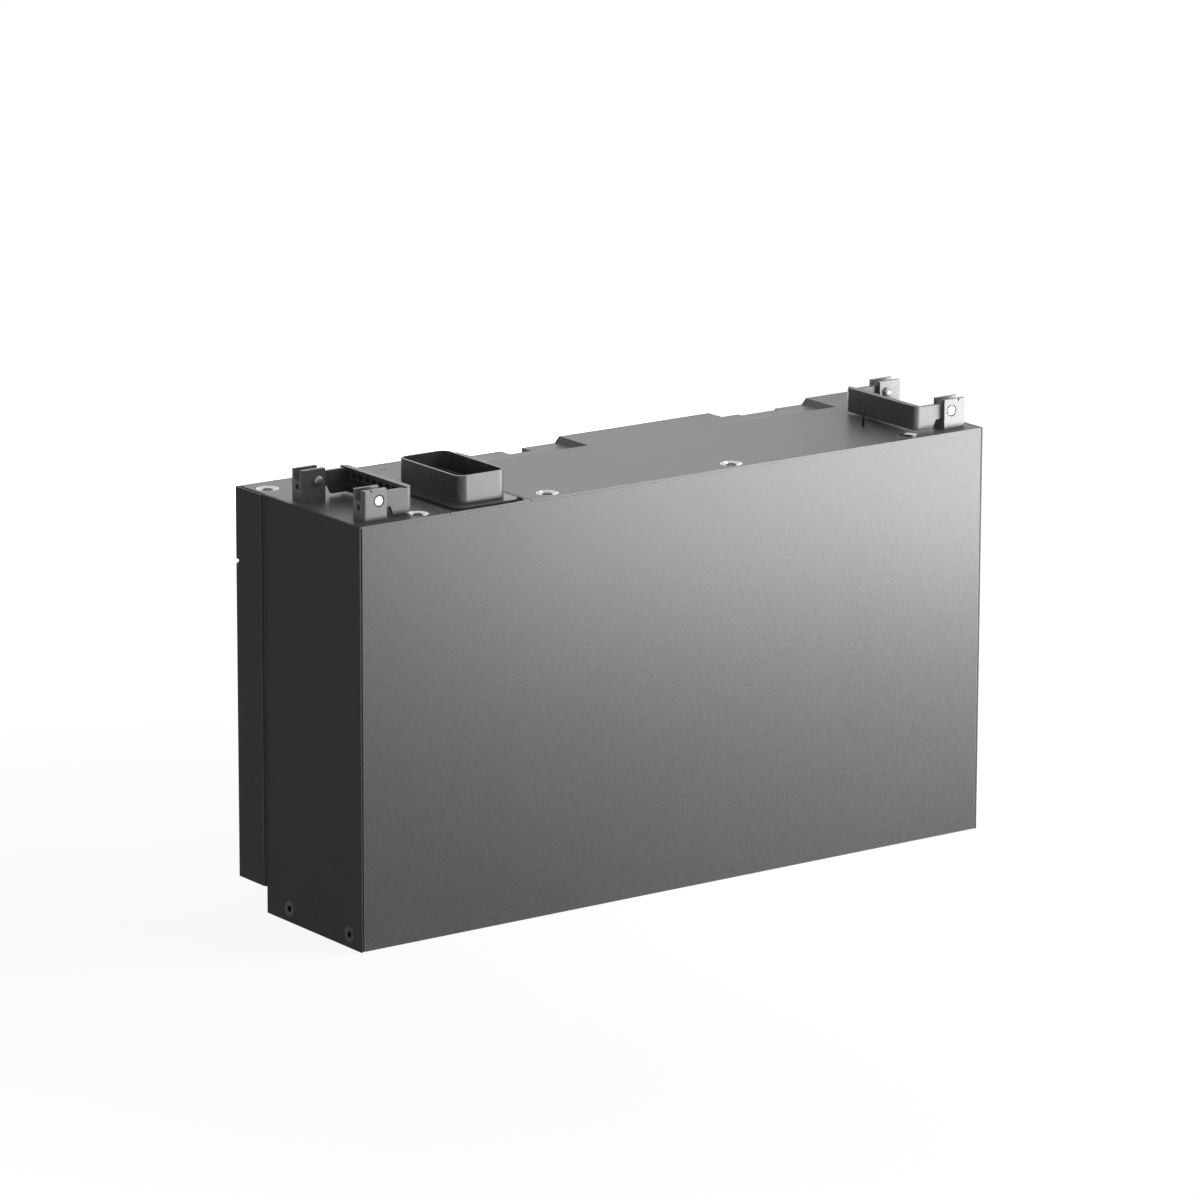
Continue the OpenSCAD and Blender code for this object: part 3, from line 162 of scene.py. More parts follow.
class BATTERY_PG_inside(bpy.types.PropertyGroup):
    """Cells and electronics"""

    wrap: colour("Cell wrap", (0.035, 0.13, 0.36), "Film round the cells")
    white: colour("White plastic", (0.72, 0.72, 0.68), "Lid, spacers and fuse body")
    film: colour("Sensing film", (0.42, 0.18, 0.04), "Flat sensing strips")
    board: colour("Board", (0.015, 0.12, 0.045), "Coated circuit boards")
    sleeve: colour("Capacitor sleeve", (0.025, 0.05, 0.12), "Sleeves of the capacitors")
    power: colour("Power lead", (0.65, 0.16, 0.015), "Insulation of the power leads")
    signal: grey("Signal lead", 0.42, "Insulation of the signal leads")
    red: colour("Red paint", (0.50, 0.022, 0.015), "Extinguishing canister")


class BATTERY_PG_stage(bpy.types.PropertyGroup):
    """Camera, lamps and floor"""

    lens: FloatProperty(
        name="Lens", default=205, description="Focal length on a 36 mm sensor", subtype="DISTANCE_CAMERA"
    )
    place: FloatVectorProperty(
        name="Camera",
        default=(-3.47376, -4.80443, 1.72926),
        description="Place of the camera",
        subtype="TRANSLATION",
    )
    yaw: angle("Yaw", -35.722, "Turn to the left, or to the right if negative")
    pitch: angle("Pitch", 75.953, "Tilt from straight down")
    roll: angle("Roll", 0.1586, "Lean of the camera")
    key: power("Key lamp", 29, "Lamp at the right front")
    over: power("Over lamp", 2.95, "Lamp above the right")
    back: power("Back lamp", 1.9, "Lamp at the right back")
    rear: power("Rear lamp", 18, "Low wide lamp behind the right")
    fill: power("Fill lamp", 2.2, "Tall lamp at the left front")
    sky: share("Sky", 0.12, "Level of the even light from all round")
    floor: share("Floor", 0.22, "Lightness of the floor to light that bounces off it")
    # near: how white the floor's glow stays close to the object; below one it is a painted shade round the
    # object
    near: share("Near floor", 0.90, "White of the floor close to the object, so that a soft shadow stays")
    white_from: size("Near reach", 0.5, "Distance from the middle at which the floor starts to get whiter")
    white_to: size("White reach", 1.6, "Distance from the middle from which the floor is white")


class Signal:
    """A shader value that takes part in Python sums: each operator adds one Math node."""

    def __init__(self, nodes, socket):
        self.nodes = nodes
        self.socket = socket

    def math(self, operation, *terms):
        """One Math node of this operation on the terms."""
        return self.nodes.add("Math", {"operation": operation}, dict(enumerate(terms)))

    def through(self, operation, *others):
        """One Math node of this operation on this value and the others."""
        return self.math(operation, self, *others)

    def __add__(self, other):
        return self.through("ADD", other)

    def __sub__(self, other):
        return self.through("SUBTRACT", other)

    def __rsub__(self, other):
        return self.math("SUBTRACT", other, self)

    def __mul__(self, other):
        return self.through("MULTIPLY", other)

    def __lt__(self, other):
        return self.through("LESS_THAN", other)

    __radd__ = __add__
    __rmul__ = __mul__


class Nodes:
    """A node tree under construction."""

    def __init__(self, tree):
        self.tree = tree

    def add(self, kind, settings=None, values=None, output=0):
        """Adds a node, sets its settings and then its sockets, and returns one of its outputs."""
        node = self.tree.nodes.new("ShaderNode" + kind)
        for key, value in (settings or {}).items():
            setattr(node, key, value)
        for key, value in (values or {}).items():
            self.feed(node.inputs[key], value)
        return Signal(self, node.outputs[output])

    def feed(self, socket, value):
        """Links a signal to a socket, or sets the socket to a plain value."""
        if isinstance(value, Signal):
            self.tree.links.new(value.socket, socket)
        else:
            socket.default_value = value

    def seen(self):
        """One for rays that look at a surface or see it mirrored, and nothing for light that bounces."""
        outputs = self.add("LightPath").socket.node.outputs
        looks, mirrored, through_glass = (
            Signal(self, outputs[kind]) for kind in ("Is Camera Ray", "Is Glossy Ray", "Is Transmission Ray")
        )
        return (looks + mirrored + through_glass).through("MINIMUM", 1.0)


class Finish(Nodes):
    """A material under construction that ends in a Principled shader."""

    def __init__(self, name):
        self.material = bpy.data.materials.new(name)
        self.material.use_nodes = True
        super().__init__(self.material.node_tree)
        self.shader = self.tree.nodes["Principled BSDF"]
        self.place = self.add("TexCoord", output="Object")

    def shade(self, **values):
        """Feeds sockets of the shader, named with underscores for their spaces."""
        for key, value in values.items():
            self.feed(self.shader.inputs[key.replace("_", " ")], value)

    def noise(self, width, detail=2.0, where=None):
        """Smooth noise about 0.5 whose lumps have this width."""
        values = {"Vector": where or self.place, "Scale": 1 / width, "Detail": detail}
        return self.add("TexNoise", None, values)

    def cells(self, width):
        """One random value for each cell of this width."""
        shade = self.add("TexVoronoi", None, {"Vector": self.place, "Scale": 1 / width}, "Color")
        return self.add("SeparateColor", None, {0: shade})

    def stretch(self, x, y, z):
        """The object's coordinates, stretched along each axis by these factors."""
        return self.add("Mapping", None, {"Vector": self.place, "Scale": (x, y, z)})

    def axis(self, which):
        """One of the object's coordinates, in metres."""
        return self.add("SeparateXYZ", None, {0: self.place}, which)

    def blend(self, factor, low, high):
        """Colour between two colours."""
        return self.add("Mix", {"data_type": "RGBA"}, {0: factor, 6: low, 7: high}, 2)

    def relief(self, height, depth):
        """Normal of a surface with this height map, whose full range is this deep."""
        bump = self.add("Bump", None, {"Height": height, "Distance": depth, "Strength": 1.0})
        self.shade(Normal=bump)


FINISHES = {}


def tint(base, factor):
    """A colour made lighter or darker."""
    return tuple(min(1.0, channel * factor) for channel in base[:3]) + (1.0,)


def finish_once(maker):
    """A finish of one name is made once and then shared."""

    def made(name, *settings):
        if name not in FINISHES:
            FINISHES[name] = maker(Finish(name), *settings).material
        return FINISHES[name]

    return made


@finish_once
def powder_coat(coat, base, grain, gloss, shine):
    """Powder coat: round lumps of cured powder on a slow orange peel, with flakes and faint clouds."""
    lumps = coat.noise(grain, 2)
    flakes = coat.cells(1.3 * grain)
    clouds = coat.noise(0.17, 2)
    peel = coat.noise(7 * grain, 1)
    tone = lumps * 0.9 + flakes * 0.3 + clouds * 0.2 - 0.2
    coat.shade(
        Base_Color=coat.blend(tone, tint(base, 0.62), tint(base, 1.38)),
        Roughness=gloss - 0.07 + lumps * 0.1 + flakes * 0.04,
        Specular_IOR_Level=shine,
    )
    coat.relief(lumps * 0.85 + peel * 0.15, 0.13 * grain)
    return coat


@finish_once
def moulded(skin, base, rough):
    """Moulded plastic: spark-eroded skin with faint flow marks and rubbed places."""
    pits = skin.noise(0.45 * MM, 3)
    flow = skin.noise(0.03, 2, skin.stretch(1, 0.35, 1))
    skin.shade(
        Base_Color=skin.blend(pits * 0.5 + flow * 0.5, tint(base, 0.7), tint(base, 1.45)),
        Roughness=rough - 0.1 + pits * 0.12 + flow * 0.1,
        Specular_IOR_Level=0.3,
    )
    skin.relief(pits, 0.035 * MM)
    return skin


@finish_once
def soft_rubber(skin, base):
    """Rubber: matt, with fine bloom and dust in its pores."""
    bloom = skin.noise(6 * MM, 4)
    pores = skin.noise(0.6 * MM, 2)
    skin.shade(
        Base_Color=skin.blend(bloom, tint(base, 0.7), tint(base, 2.4)),
        Roughness=0.66 + bloom * 0.22,
        Specular_IOR_Level=0.2,
    )
    skin.relief(pores, 0.03 * MM)
    return skin


@finish_once
def turned_metal(metal, base, rough, bare=1.0):
    """Turned metal: fine rings of the lathe tool and a few stains.

    The rings are a sine of each point's distance to the axis, which the mesh keeps in its attribute ring.
    """
    pitch = 0.32 * MM
    radius = metal.add("Attribute", {"attribute_name": "ring"}, None, "Fac")
    rings = (radius * (2 * math.pi / pitch)).through("SINE")
    stains = metal.noise(2.2 * MM, 3)
    metal.shade(
        Base_Color=metal.blend(stains, tint(base, 0.78), tint(base, 1.12)),
        Roughness=rough - 0.08 + stains * 0.16 + rings * 0.03,
        Metallic=bare,
    )
    metal.relief(rings * 0.5 + stains * 0.4, 0.002 * MM)
    return metal


@finish_once
def rolled_metal(metal, base, rough, spangle):
    """Rolled or plated sheet: drawn-out rolling marks over crystals of this width."""
    marks = metal.noise(0.5 * MM, 3, metal.stretch(0.03, 1, 1))
    crystals = metal.cells(spangle)
    film = metal.noise(0.04, 3)
    tone = crystals * 0.35 + marks * 0.4 + film * 0.25
    metal.shade(
        Base_Color=metal.blend(tone, tint(base, 0.7), tint(base, 1.25)),
        Roughness=rough - 0.1 + crystals * 0.08 + film * 0.16,
        Metallic=1.0,
    )
    metal.relief(marks * 0.7 + crystals * 0.3, 0.01 * MM)
    return metal


@finish_once
def dark_steel(metal, base):
    """Blackened steel: uneven oxide that is thinner and brighter in patches."""
    oxide = metal.noise(1.6 * MM, 4)
    fine = metal.noise(0.3 * MM, 2)
    metal.shade(
        Base_Color=metal.blend(oxide * 0.7 + fine * 0.3, tint(base, 0.55), tint(base, 2.2)),
        Roughness=0.3 + oxide * 0.2,
        Metallic=0.2,
        Specular_IOR_Level=0.25,
    )
    metal.relief(fine, 0.012 * MM)
    return metal


@finish_once
def cell_film(film, base):
    """Film shrunk round a cell: small wrinkles, and lighter level bands where it laps over itself."""
    pitch, overlap = 134 * MM, 2.4 * MM
    wrinkles = film.noise(7 * MM, 3, film.stretch(1, 0.3, 1))
    haze = film.noise(0.05, 2)
    lap = film.axis("Z").through("PINGPONG", pitch / 2) < overlap / 2
    film.shade(
        Base_Color=film.blend(haze * 0.6 + lap * 0.5, tint(base, 0.75), tint(base, 1.6)),
        Roughness=0.24 + haze * 0.2,
        Coat_Weight=0.4 + haze * 0.3,
    )
    film.relief(wrinkles * 0.8 + lap * 0.2, 0.12 * MM)
    return film


@finish_once
def circuit_board(board, base):
    """Coated board: copper tracks show as paler lines under the green, with tinned dots where they end."""
    upright = board.add("Mapping", None, {"Vector": board.place, "Rotation": (math.radians(90), 0, 0)})
    bricks = {"Vector": upright, "Scale": 60.0, "Mortar Size": 0.018}
    tracks = board.add("TexBrick", {"offset": 0.5}, bricks, "Fac")
    dots = board.add("TexVoronoi", None, {"Vector": board.place, "Scale": 150.0}, "Distance") < 0.16
    haze = board.noise(0.02, 2)
    green = board.blend(tracks * 0.7 + haze * 0.2, tint(base, 0.8), tint(base, 2.1))
    board.shade(
        Base_Color=board.blend(dots, green, (0.55, 0.56, 0.57, 1)),
        Roughness=0.26 + haze * 0.12,
        Metallic=dots * 0.9,
    )
    board.relief(tracks * 0.5 + dots * 0.5, 0.05 * MM)
    return board


@finish_once
def wound_wire(coil, base):
    """Enamelled wire wound in rings: each turn is a small round ridge along the coil's axis."""
    pitch = 1.4 * MM
    turns = (coil.axis("Y") * (2 * math.pi / pitch)).through("SINE")
    haze = coil.noise(4 * MM, 2)
    # The colour follows the turns: lighter on each ridge and darker between them, a painted shade in the
    # grooves.
    coil.shade(
        Base_Color=coil.blend(turns * 0.3 + 0.35 + haze * 0.3, tint(base, 0.45), tint(base, 1.2)),
        Roughness=0.26 + haze * 0.12,
        Metallic=0.8,
    )
    coil.relief(turns * 0.5 + 0.5, 0.5 * MM)
    return coil


@finish_once
def gloss_skin(skin, base, rough, dent):
    """Smooth sleeve, film, paint or insulation: slight waves and a faint change of tone."""
    waves = skin.noise(dent, 2)
    fine = skin.noise(0.5 * MM, 2)
    skin.shade(
        Base_Color=skin.blend(waves * 0.6 + fine * 0.4, tint(base, 0.78), tint(base, 1.25)),
        Roughness=rough - 0.06 + fine * 0.12,
        Coat_Weight=0.15 + waves * 0.2,
    )
    skin.relief(waves * 0.8 + fine * 0.2, 0.02 * dent)
    return skin


def coats():
    """The colour of each slot that is powder coated."""
    sheets = bpy.context.scene.battery_casing
    cast = bpy.context.scene.battery_fittings
    return {
        "panel_paint": sheets.panel,
        "cover_paint": sheets.cover,
        "case_paint": sheets.case,
        "pan_paint": sheets.pan,
        "post_paint": cast.post,
        "handle_plastic": cast.handle,
        "collar_metal": cast.collar,
    }


def casing_finish(slot):
    """Coat of a casing sheet by its slot. The sides and the back are duller than the rest."""
    look = bpy.context.scene.battery_casing
    shine = look.sheen * (0.15 if slot == "case_paint" else 1)
    return powder_coat(slot, coats()[slot], look.grain, look.gloss, shine)


def rim_finish(slot):
    """The same coat on a rounded edge, painted lighter as a highlight and a little smoother."""
    look = bpy.context.scene.battery_casing
    base = coats().get(slot)
    if base is None:
        return finish_of(slot)
    return powder_coat(slot + "_rim", tint(base, look.rim), look.grain, look.gloss - 0.08, 0.5)


def fitting_finish(slot):
    """Finish of a fitting by its slot."""
    look = bpy.context.scene.battery_fittings
    if slot == "post_paint":
        return powder_coat(slot, look.post, 0.7 * MM, 0.34, 0.3)
    if slot == "collar_metal":
        return powder_coat(slot, look.collar, 0.6 * MM, 0.28, 0.3)
    if slot == "handle_plastic":
        return powder_coat(slot, look.handle, 0.7 * MM, 0.3, 0.25)
    if slot == "rubber":
        return soft_rubber(slot, look.rubber)
    return moulded(slot, look.black, 0.46)


def metal_finish(slot):
    """Finish of a metal part by its slot."""
    look = bpy.context.scene.battery_metal
    if slot == "bright_steel":
        return turned_metal(slot, look.steel, 0.4, 0.5)
    if slot == "black_steel":
        return dark_steel(slot, look.dark)
    if slot == "zinc_steel":
        return rolled_metal(slot, look.zinc, 0.42, 5 * MM)
    if slot == "brass":
        return turned_metal(slot, look.brass, 0.3)
    if slot == "copper":
        return rolled_metal(slot, look.copper, 0.36, 2 * MM)
    return rolled_metal(slot, look.alloy, 0.4, 1.2 * MM)


def inside_finish(slot):
    """Finish of a part inside the casing by its slot."""
    look = bpy.context.scene.battery_inside
    if slot == "cell_wrap":
        return cell_film(slot, look.wrap)
    if slot == "white_plastic":
        return moulded(slot, look.white, 0.5)
    if slot == "board_green":
        return circuit_board(slot, look.board)
    if slot == "sense_film":
        return gloss_skin(slot, look.film, 0.3, 5 * MM)
    if slot == "capacitor_sleeve":
        return gloss_skin(slot, look.sleeve, 0.3, 9 * MM)
    if slot == "lead_orange":
        return gloss_skin(slot, look.power, 0.42, 12 * MM)
    if slot == "lead_grey":
        return gloss_skin(slot, look.signal, 0.45, 8 * MM)
    return gloss_skin(slot, look.red, 0.22, 4 * MM)


CASING_SLOTS = ("panel_paint", "cover_paint", "case_paint", "pan_paint")
FITTING_SLOTS = ("post_paint", "collar_metal", "handle_plastic", "rubber", "black_plastic")
METAL_SLOTS = ("bright_steel", "black_steel", "zinc_steel", "brass", "copper", "terminal_metal")


def finish_of(slot):
    """Finish that belongs to a slot of the record."""
    if slot in CASING_SLOTS:
        return casing_finish(slot)
    if slot in FITTING_SLOTS:
        return fitting_finish(slot)
    if slot in METAL_SLOTS:
        return metal_finish(slot)
    return inside_finish(slot)


def stand_in(name, mesh, node):
    """Puts a mesh in the scene as the piece that stands for a node, with the node's body and slot."""
    piece = bpy.data.objects.new(name, mesh)
    bpy.context.scene.collection.objects.link(piece)
    mesh.materials.clear()
    mesh.materials.append(finish_of(SLOTS[node]))
    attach(piece, BODIES[node])
    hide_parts(node)
    return piece


def coat_node(node, material=None):
    """Gives a CAD node that stays in sight its own finish."""
    mesh = NODES[node].data
    mesh.materials.clear()
    mesh.materials.append(material or finish_of(SLOTS[node]))


def joined(node):
    """A CAD node's surface with its loose triangles joined."""
    work = bmesh.new()
    work.from_mesh(NODES[node].data)
    bmesh.ops.remove_doubles(work, verts=work.verts, dist=CAD_WELD)
    return work


def round_edges(node, width, segments=2, pierced=False):
    """Stands a copy of a node in for it, with every sharp edge rolled over by this width.

    Flat faces are merged first. Where they are pierced by many holes, they are split again into faces without
    dents, because a face that winds round holes doesn't survive the rounding.
    """
    work = joined(node)
    flat, sharp = math.radians(0.4), math.radians(28)
    bmesh.ops.dissolve_limit(
        work, angle_limit=flat, verts=work.verts, edges=work.edges, use_dissolve_boundaries=False
    )
    if pierced:
        bmesh.ops.connect_verts_concave(work, faces=work.faces)
    for face in work.faces:
        face.smooth = True
    for edge in work.edges:
        edge.smooth = len(edge.link_faces) == 2 and edge.calc_face_angle(0) < sharp
    mesh = bpy.data.meshes.new(node + "_dressed")
    work.to_mesh(mesh)
    work.free()
    piece = stand_in(node + "_dressed", mesh, node)
    # The rounded edges take the lighter copy of the coat: a painted highlight along each edge.
    mesh.materials.append(rim_finish(SLOTS[node]))
    roll = piece.modifiers.new("rolled edge", "BEVEL")
    roll.material = 1
    roll.limit_method = "ANGLE"
    roll.angle_limit = sharp
    roll.width = width
    roll.segments = segments
    roll.miter_outer = "MITER_ARC"
    even = piece.modifiers.new("even shade", "WEIGHTED_NORMAL")
    even.weight = 100
    even.keep_sharp = True
    return piece


def solids(node):
    """Lowest and highest corner of each separate solid of a CAD node, ordered along x and then y."""
    work = joined(node)
    unseen, boxes = set(work.verts), []
    while unseen:
        queue, island = [unseen.pop()], []
        while queue:
            point = queue.pop()
            island.append(point.co[:])
            near = {edge.other_vert(point) for edge in point.link_edges} & unseen
            unseen -= near
            queue.extend(near)
        corners = np.array(island)
        boxes.append((corners.min(0), corners.max(0)))
    work.free()
    return sorted(boxes, key=lambda box: (round(box[0][0], 3), round(box[0][1], 3)))


def grid_quads(rows, columns, closed=False):
    """Corner numbers of a grid's quads. Its last column joins the first, and if closed its last row too."""
    i, j = np.meshgrid(np.arange(rows if closed else rows - 1), np.arange(columns), indexing="ij")
    this_row, next_row = i * columns, (i + 1) % rows * columns
    right = (j + 1) % columns
    return np.stack([this_row + j, this_row + right, next_row + right, next_row + j], -1).reshape(-1, 4)


def surface(name, grids):
    """One closed mesh of several point grids, each given as its points, quads and ring values."""
    points = np.concatenate([grid[0].reshape(-1, 3) for grid in grids])
    starts = np.cumsum([0] + [len(grid[0].reshape(-1, 3)) for grid in grids[:-1]])
    quads = np.concatenate([grid[1] + start for grid, start in zip(grids, starts)])
    rings = np.concatenate([np.asarray(grid[2], float).ravel() for grid in grids])
    mesh = bpy.data.meshes.new(name)
    mesh.from_pydata(points.tolist(), [], quads.tolist())
    mesh.attributes.new("ring", "FLOAT", "POINT").data.foreach_set("value", rings.astype(np.float32))
    work = bmesh.new()
    work.from_mesh(mesh)
    bmesh.ops.remove_doubles(work, verts=work.verts, dist=SURFACE_WELD)
    bmesh.ops.recalc_face_normals(work, faces=work.faces)
    crease = math.radians(35)
    for face in work.faces:
        face.smooth = True
    for edge in work.edges:
        edge.smooth = edge.calc_face_angle(0) < crease
    work.to_mesh(mesh)
    work.free()
    return mesh


def turning():
    """Angles of the corners round a turned part."""
    sides = bpy.context.scene.battery_metal.sides
    return np.arange(sides) * (2 * np.pi / sides)


def hexagon(across):
    """Distance from the middle to the edge of a hexagon of this half width, at each angle of a turned part.

    It is the half width over the cosine of the angle to the middle of the nearest flat.
    """
    return across / np.cos((turning() + np.pi / 6) % (np.pi / 3) - np.pi / 6)


def turned(rows, centre, along):
    """Surface of revolution: a row is a radius, or one for every angle, and a height along the axis.

    A point of row i at angle t is centre + r(i, t) (u cos t + v sin t) + h(i) along.
    """
    angles = turning()
    radius = np.array([np.broadcast_to(row[0], len(angles)) for row in rows])
    height = np.array([row[1] for row in rows])
    u = np.roll(np.abs(along), 1)
    v = np.cross(along, u)
    ring = np.cos(angles)[:, None] * u + np.sin(angles)[:, None] * v
    points = centre + radius[..., None] * ring + height[:, None, None] * along
    return points, grid_quads(len(rows), len(angles)), radius


def turn_solids(node, ending, axis, profile, mirrored=False):
    """Turns each solid of a node anew along an axis, and puts them in as one piece.

    The profile gives the rows for a solid's radius and for where it starts and ends. A mirrored solid points
    away from the middle of the object on either side, and starts nearest to it.
    """
    grids = []
    across = 0 if axis else 2
    for low, high in solids(node):
        start, end = low[axis], high[axis]
        along = np.zeros(3)
        along[axis] = 1
        if mirrored:
            along[axis] = np.sign(start)
            start, end = sorted((abs(start), abs(end)))
        centre = (low + high) / 2
        centre[axis] = 0
        grids.append(turned(profile((high[across] - low[across]) / 2, start, end), centre, along))
    return stand_in(node + ending, surface(node + ending, grids), node)


def rounded_outline(low, high, radius, steps=8):
    """Points round a rectangle with round corners, as arc points of its four corners in turn.

    A point at angle t is its corner's centre + radius (cos t, sin t). Each corner is a quarter turn of t.
    """
    start = np.repeat(np.arange(4) * np.pi / 2, steps)
    turn = start + np.tile(np.linspace(0, np.pi / 2, steps), 4)
    left, right = low[0] + radius, high[0] - radius
    front, rear = low[1] + radius, high[1] - radius
    centres = np.repeat([(right, rear), (left, rear), (left, front), (right, front)], steps, axis=0)
    return centres + radius * np.stack([np.cos(turn), np.sin(turn)], -1)


def band(inner, outer, profile):
    """Closed band between two outlines: a profile point is a share s of the way outwards and a height.

    A point of the band is (1 - s) inner + s outer, at that height.
    """
    outwards, height = np.array(profile).T[:, :, None, None]
    flat = inner * (1 - outwards) + outer * outwards
    points = np.concatenate([flat, np.broadcast_to(height, flat.shape[:2] + (1,))], -1)
    return points, grid_quads(len(profile), len(inner), closed=True), np.zeros(flat.shape[:2])


class BATTERY_OT_casing(bpy.types.Operator):
    """Roll the edges of the casing's sheets and coat them"""

    bl_idname = "battery.casing"
    bl_label = "Casing"

    def execute(self, context):
        look = context.scene.battery_casing
        for node in ("housing_shell", "rear_cover", "top_cover", "connector_plate", "bottom_pan"):
            round_edges(node, look.edge)
        self.fit_panel(round_edges("front_panel", look.edge).data, look)
        return {"FINISHED"}

    def fit_panel(self, mesh, look):
        """Lets the panel's face lie level with its frame, with a wider joint at the left than at the right.

        A corner's x moves right by the joint of its side. A corner of the face moves to the casing's front.
        """
        points = np.empty(3 * len(mesh.vertices), np.float32)
        mesh.vertices.foreach_get("co", points)
        points = points.reshape(-1, 3)
        points[:, 0] += np.where(points[:, 0] < 0, look.gap_left, look.gap_right)
        face = points[:, 1] < points[:, 1].mean()
        points[face, 1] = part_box("housing_shell")[0][1]
        mesh.vertices.foreach_set("co", points.ravel())
        mesh.update()


class BATTERY_OT_posts(bpy.types.Operator):
    """Round the edges of the four cast posts and finish what holds them"""

    bl_idname = "battery.posts"
    bl_label = "Posts"

    def execute(self, context):
        look = context.scene.battery_fittings
        for node in ("post_front_left", "post_front_right", "post_rear_left", "post_rear_right"):
            round_edges(node, look.post_edge)
        for node in ("post_nuts", "post_plate_left", "post_plate_right", "pivot_sleeves"):
            coat_node(node)
        return {"FINISHED"}


class BATTERY_OT_handles(bpy.types.Operator):
    """Round the edges of the two cast handles"""

    bl_idname = "battery.handles"
    bl_label = "Handles"

    def execute(self, context):
        for node in ("handle_left", "handle_right"):
            round_edges(node, context.scene.battery_fittings.handle_edge, pierced=True)
        return {"FINISHED"}


class BATTERY_OT_connector(bpy.types.Operator):
    """Round the collar and the shroud, and lay the ridged seal in its channel"""

    bl_idname = "battery.connector"
    bl_label = "Connector"

    def execute(self, context):
        look = context.scene.battery_fittings
        round_edges("connector_collar", look.collar_edge, 3)
        round_edges("contact_shroud", 0.5 * look.collar_edge)
        low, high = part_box("connector_seal")
        flange_low, flange_high = np.array(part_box("connector_collar"))
        gap, radius = 0.2 * MM, 9 * MM
        outer = rounded_outline(low, high, radius)
        inner = rounded_outline(flange_low - gap, flange_high + gap, radius)
        crest, valley = high[2], high[2] - look.ridge
        slope = crest - 0.1 * MM
        profile = [(0, low[2]), (1, low[2]), (1, valley), (0.94, slope), (0.82, crest), (0.68, slope)]
        profile += [(0.58, valley), (0.42, valley), (0.32, slope), (0.18, crest), (0.06, slope), (0, valley)]
        bead = surface("connector_seal_bead", [band(inner, outer, profile)])
        stand_in("connector_seal_bead", bead, "connector_seal")
        for node in ("connector_base", "power_contacts", "signal_pins"):
            coat_node(node)
        return {"FINISHED"}


class BATTERY_OT_pins(bpy.types.Operator):
    """Turn the handles' pins: flat flush heads in front, domed tails at the rear"""

    bl_idname = "battery.pins"
    bl_label = "Handle pins"

    def execute(self, context):
        turn_solids("front_pins", "_turned", 1, self.flat_head)
        turn_solids("rear_pins", "_turned", 1, self.domed_tail)
        return {"FINISHED"}

    def flat_head(self, radius, face, end):
        """Flat head with a rounded rim, which fills its bore, on a thinner shank."""
        rim, height = 0.4 * MM, 2.1 * MM
        rows = [(0, face), (radius - rim - 0.1 * MM, face), (radius - rim, face)]
        rows += [(radius - 0.3 * rim, face + 0.3 * rim), (radius, face + rim), (radius, face + height)]
        return rows + self.shank(face + height, end)

    def domed_tail(self, radius, tip, end):
        """Tail whose dome is a quarter of an ellipse: r = radius sin t, h = dome (1 - cos t)."""
        dome, height, chamfer = 1.9 * MM, 3.5 * MM, 0.3 * MM
        turn = np.linspace(0, np.pi / 2, 9)
        rows = list(zip(radius * np.sin(turn), tip + dome * (1 - np.cos(turn))))
        rows += [(radius, tip + height - chamfer), (radius - chamfer, tip + height)]
        return rows + self.shank(tip + height, end)

    def shank(self, neck, end):
        """Shank with a chamfered end."""
        radius, chamfer = 3 * MM, 0.4 * MM
        return [(radius, neck + 0.01 * MM), (radius, end - chamfer), (radius - chamfer, end), (0, end)]


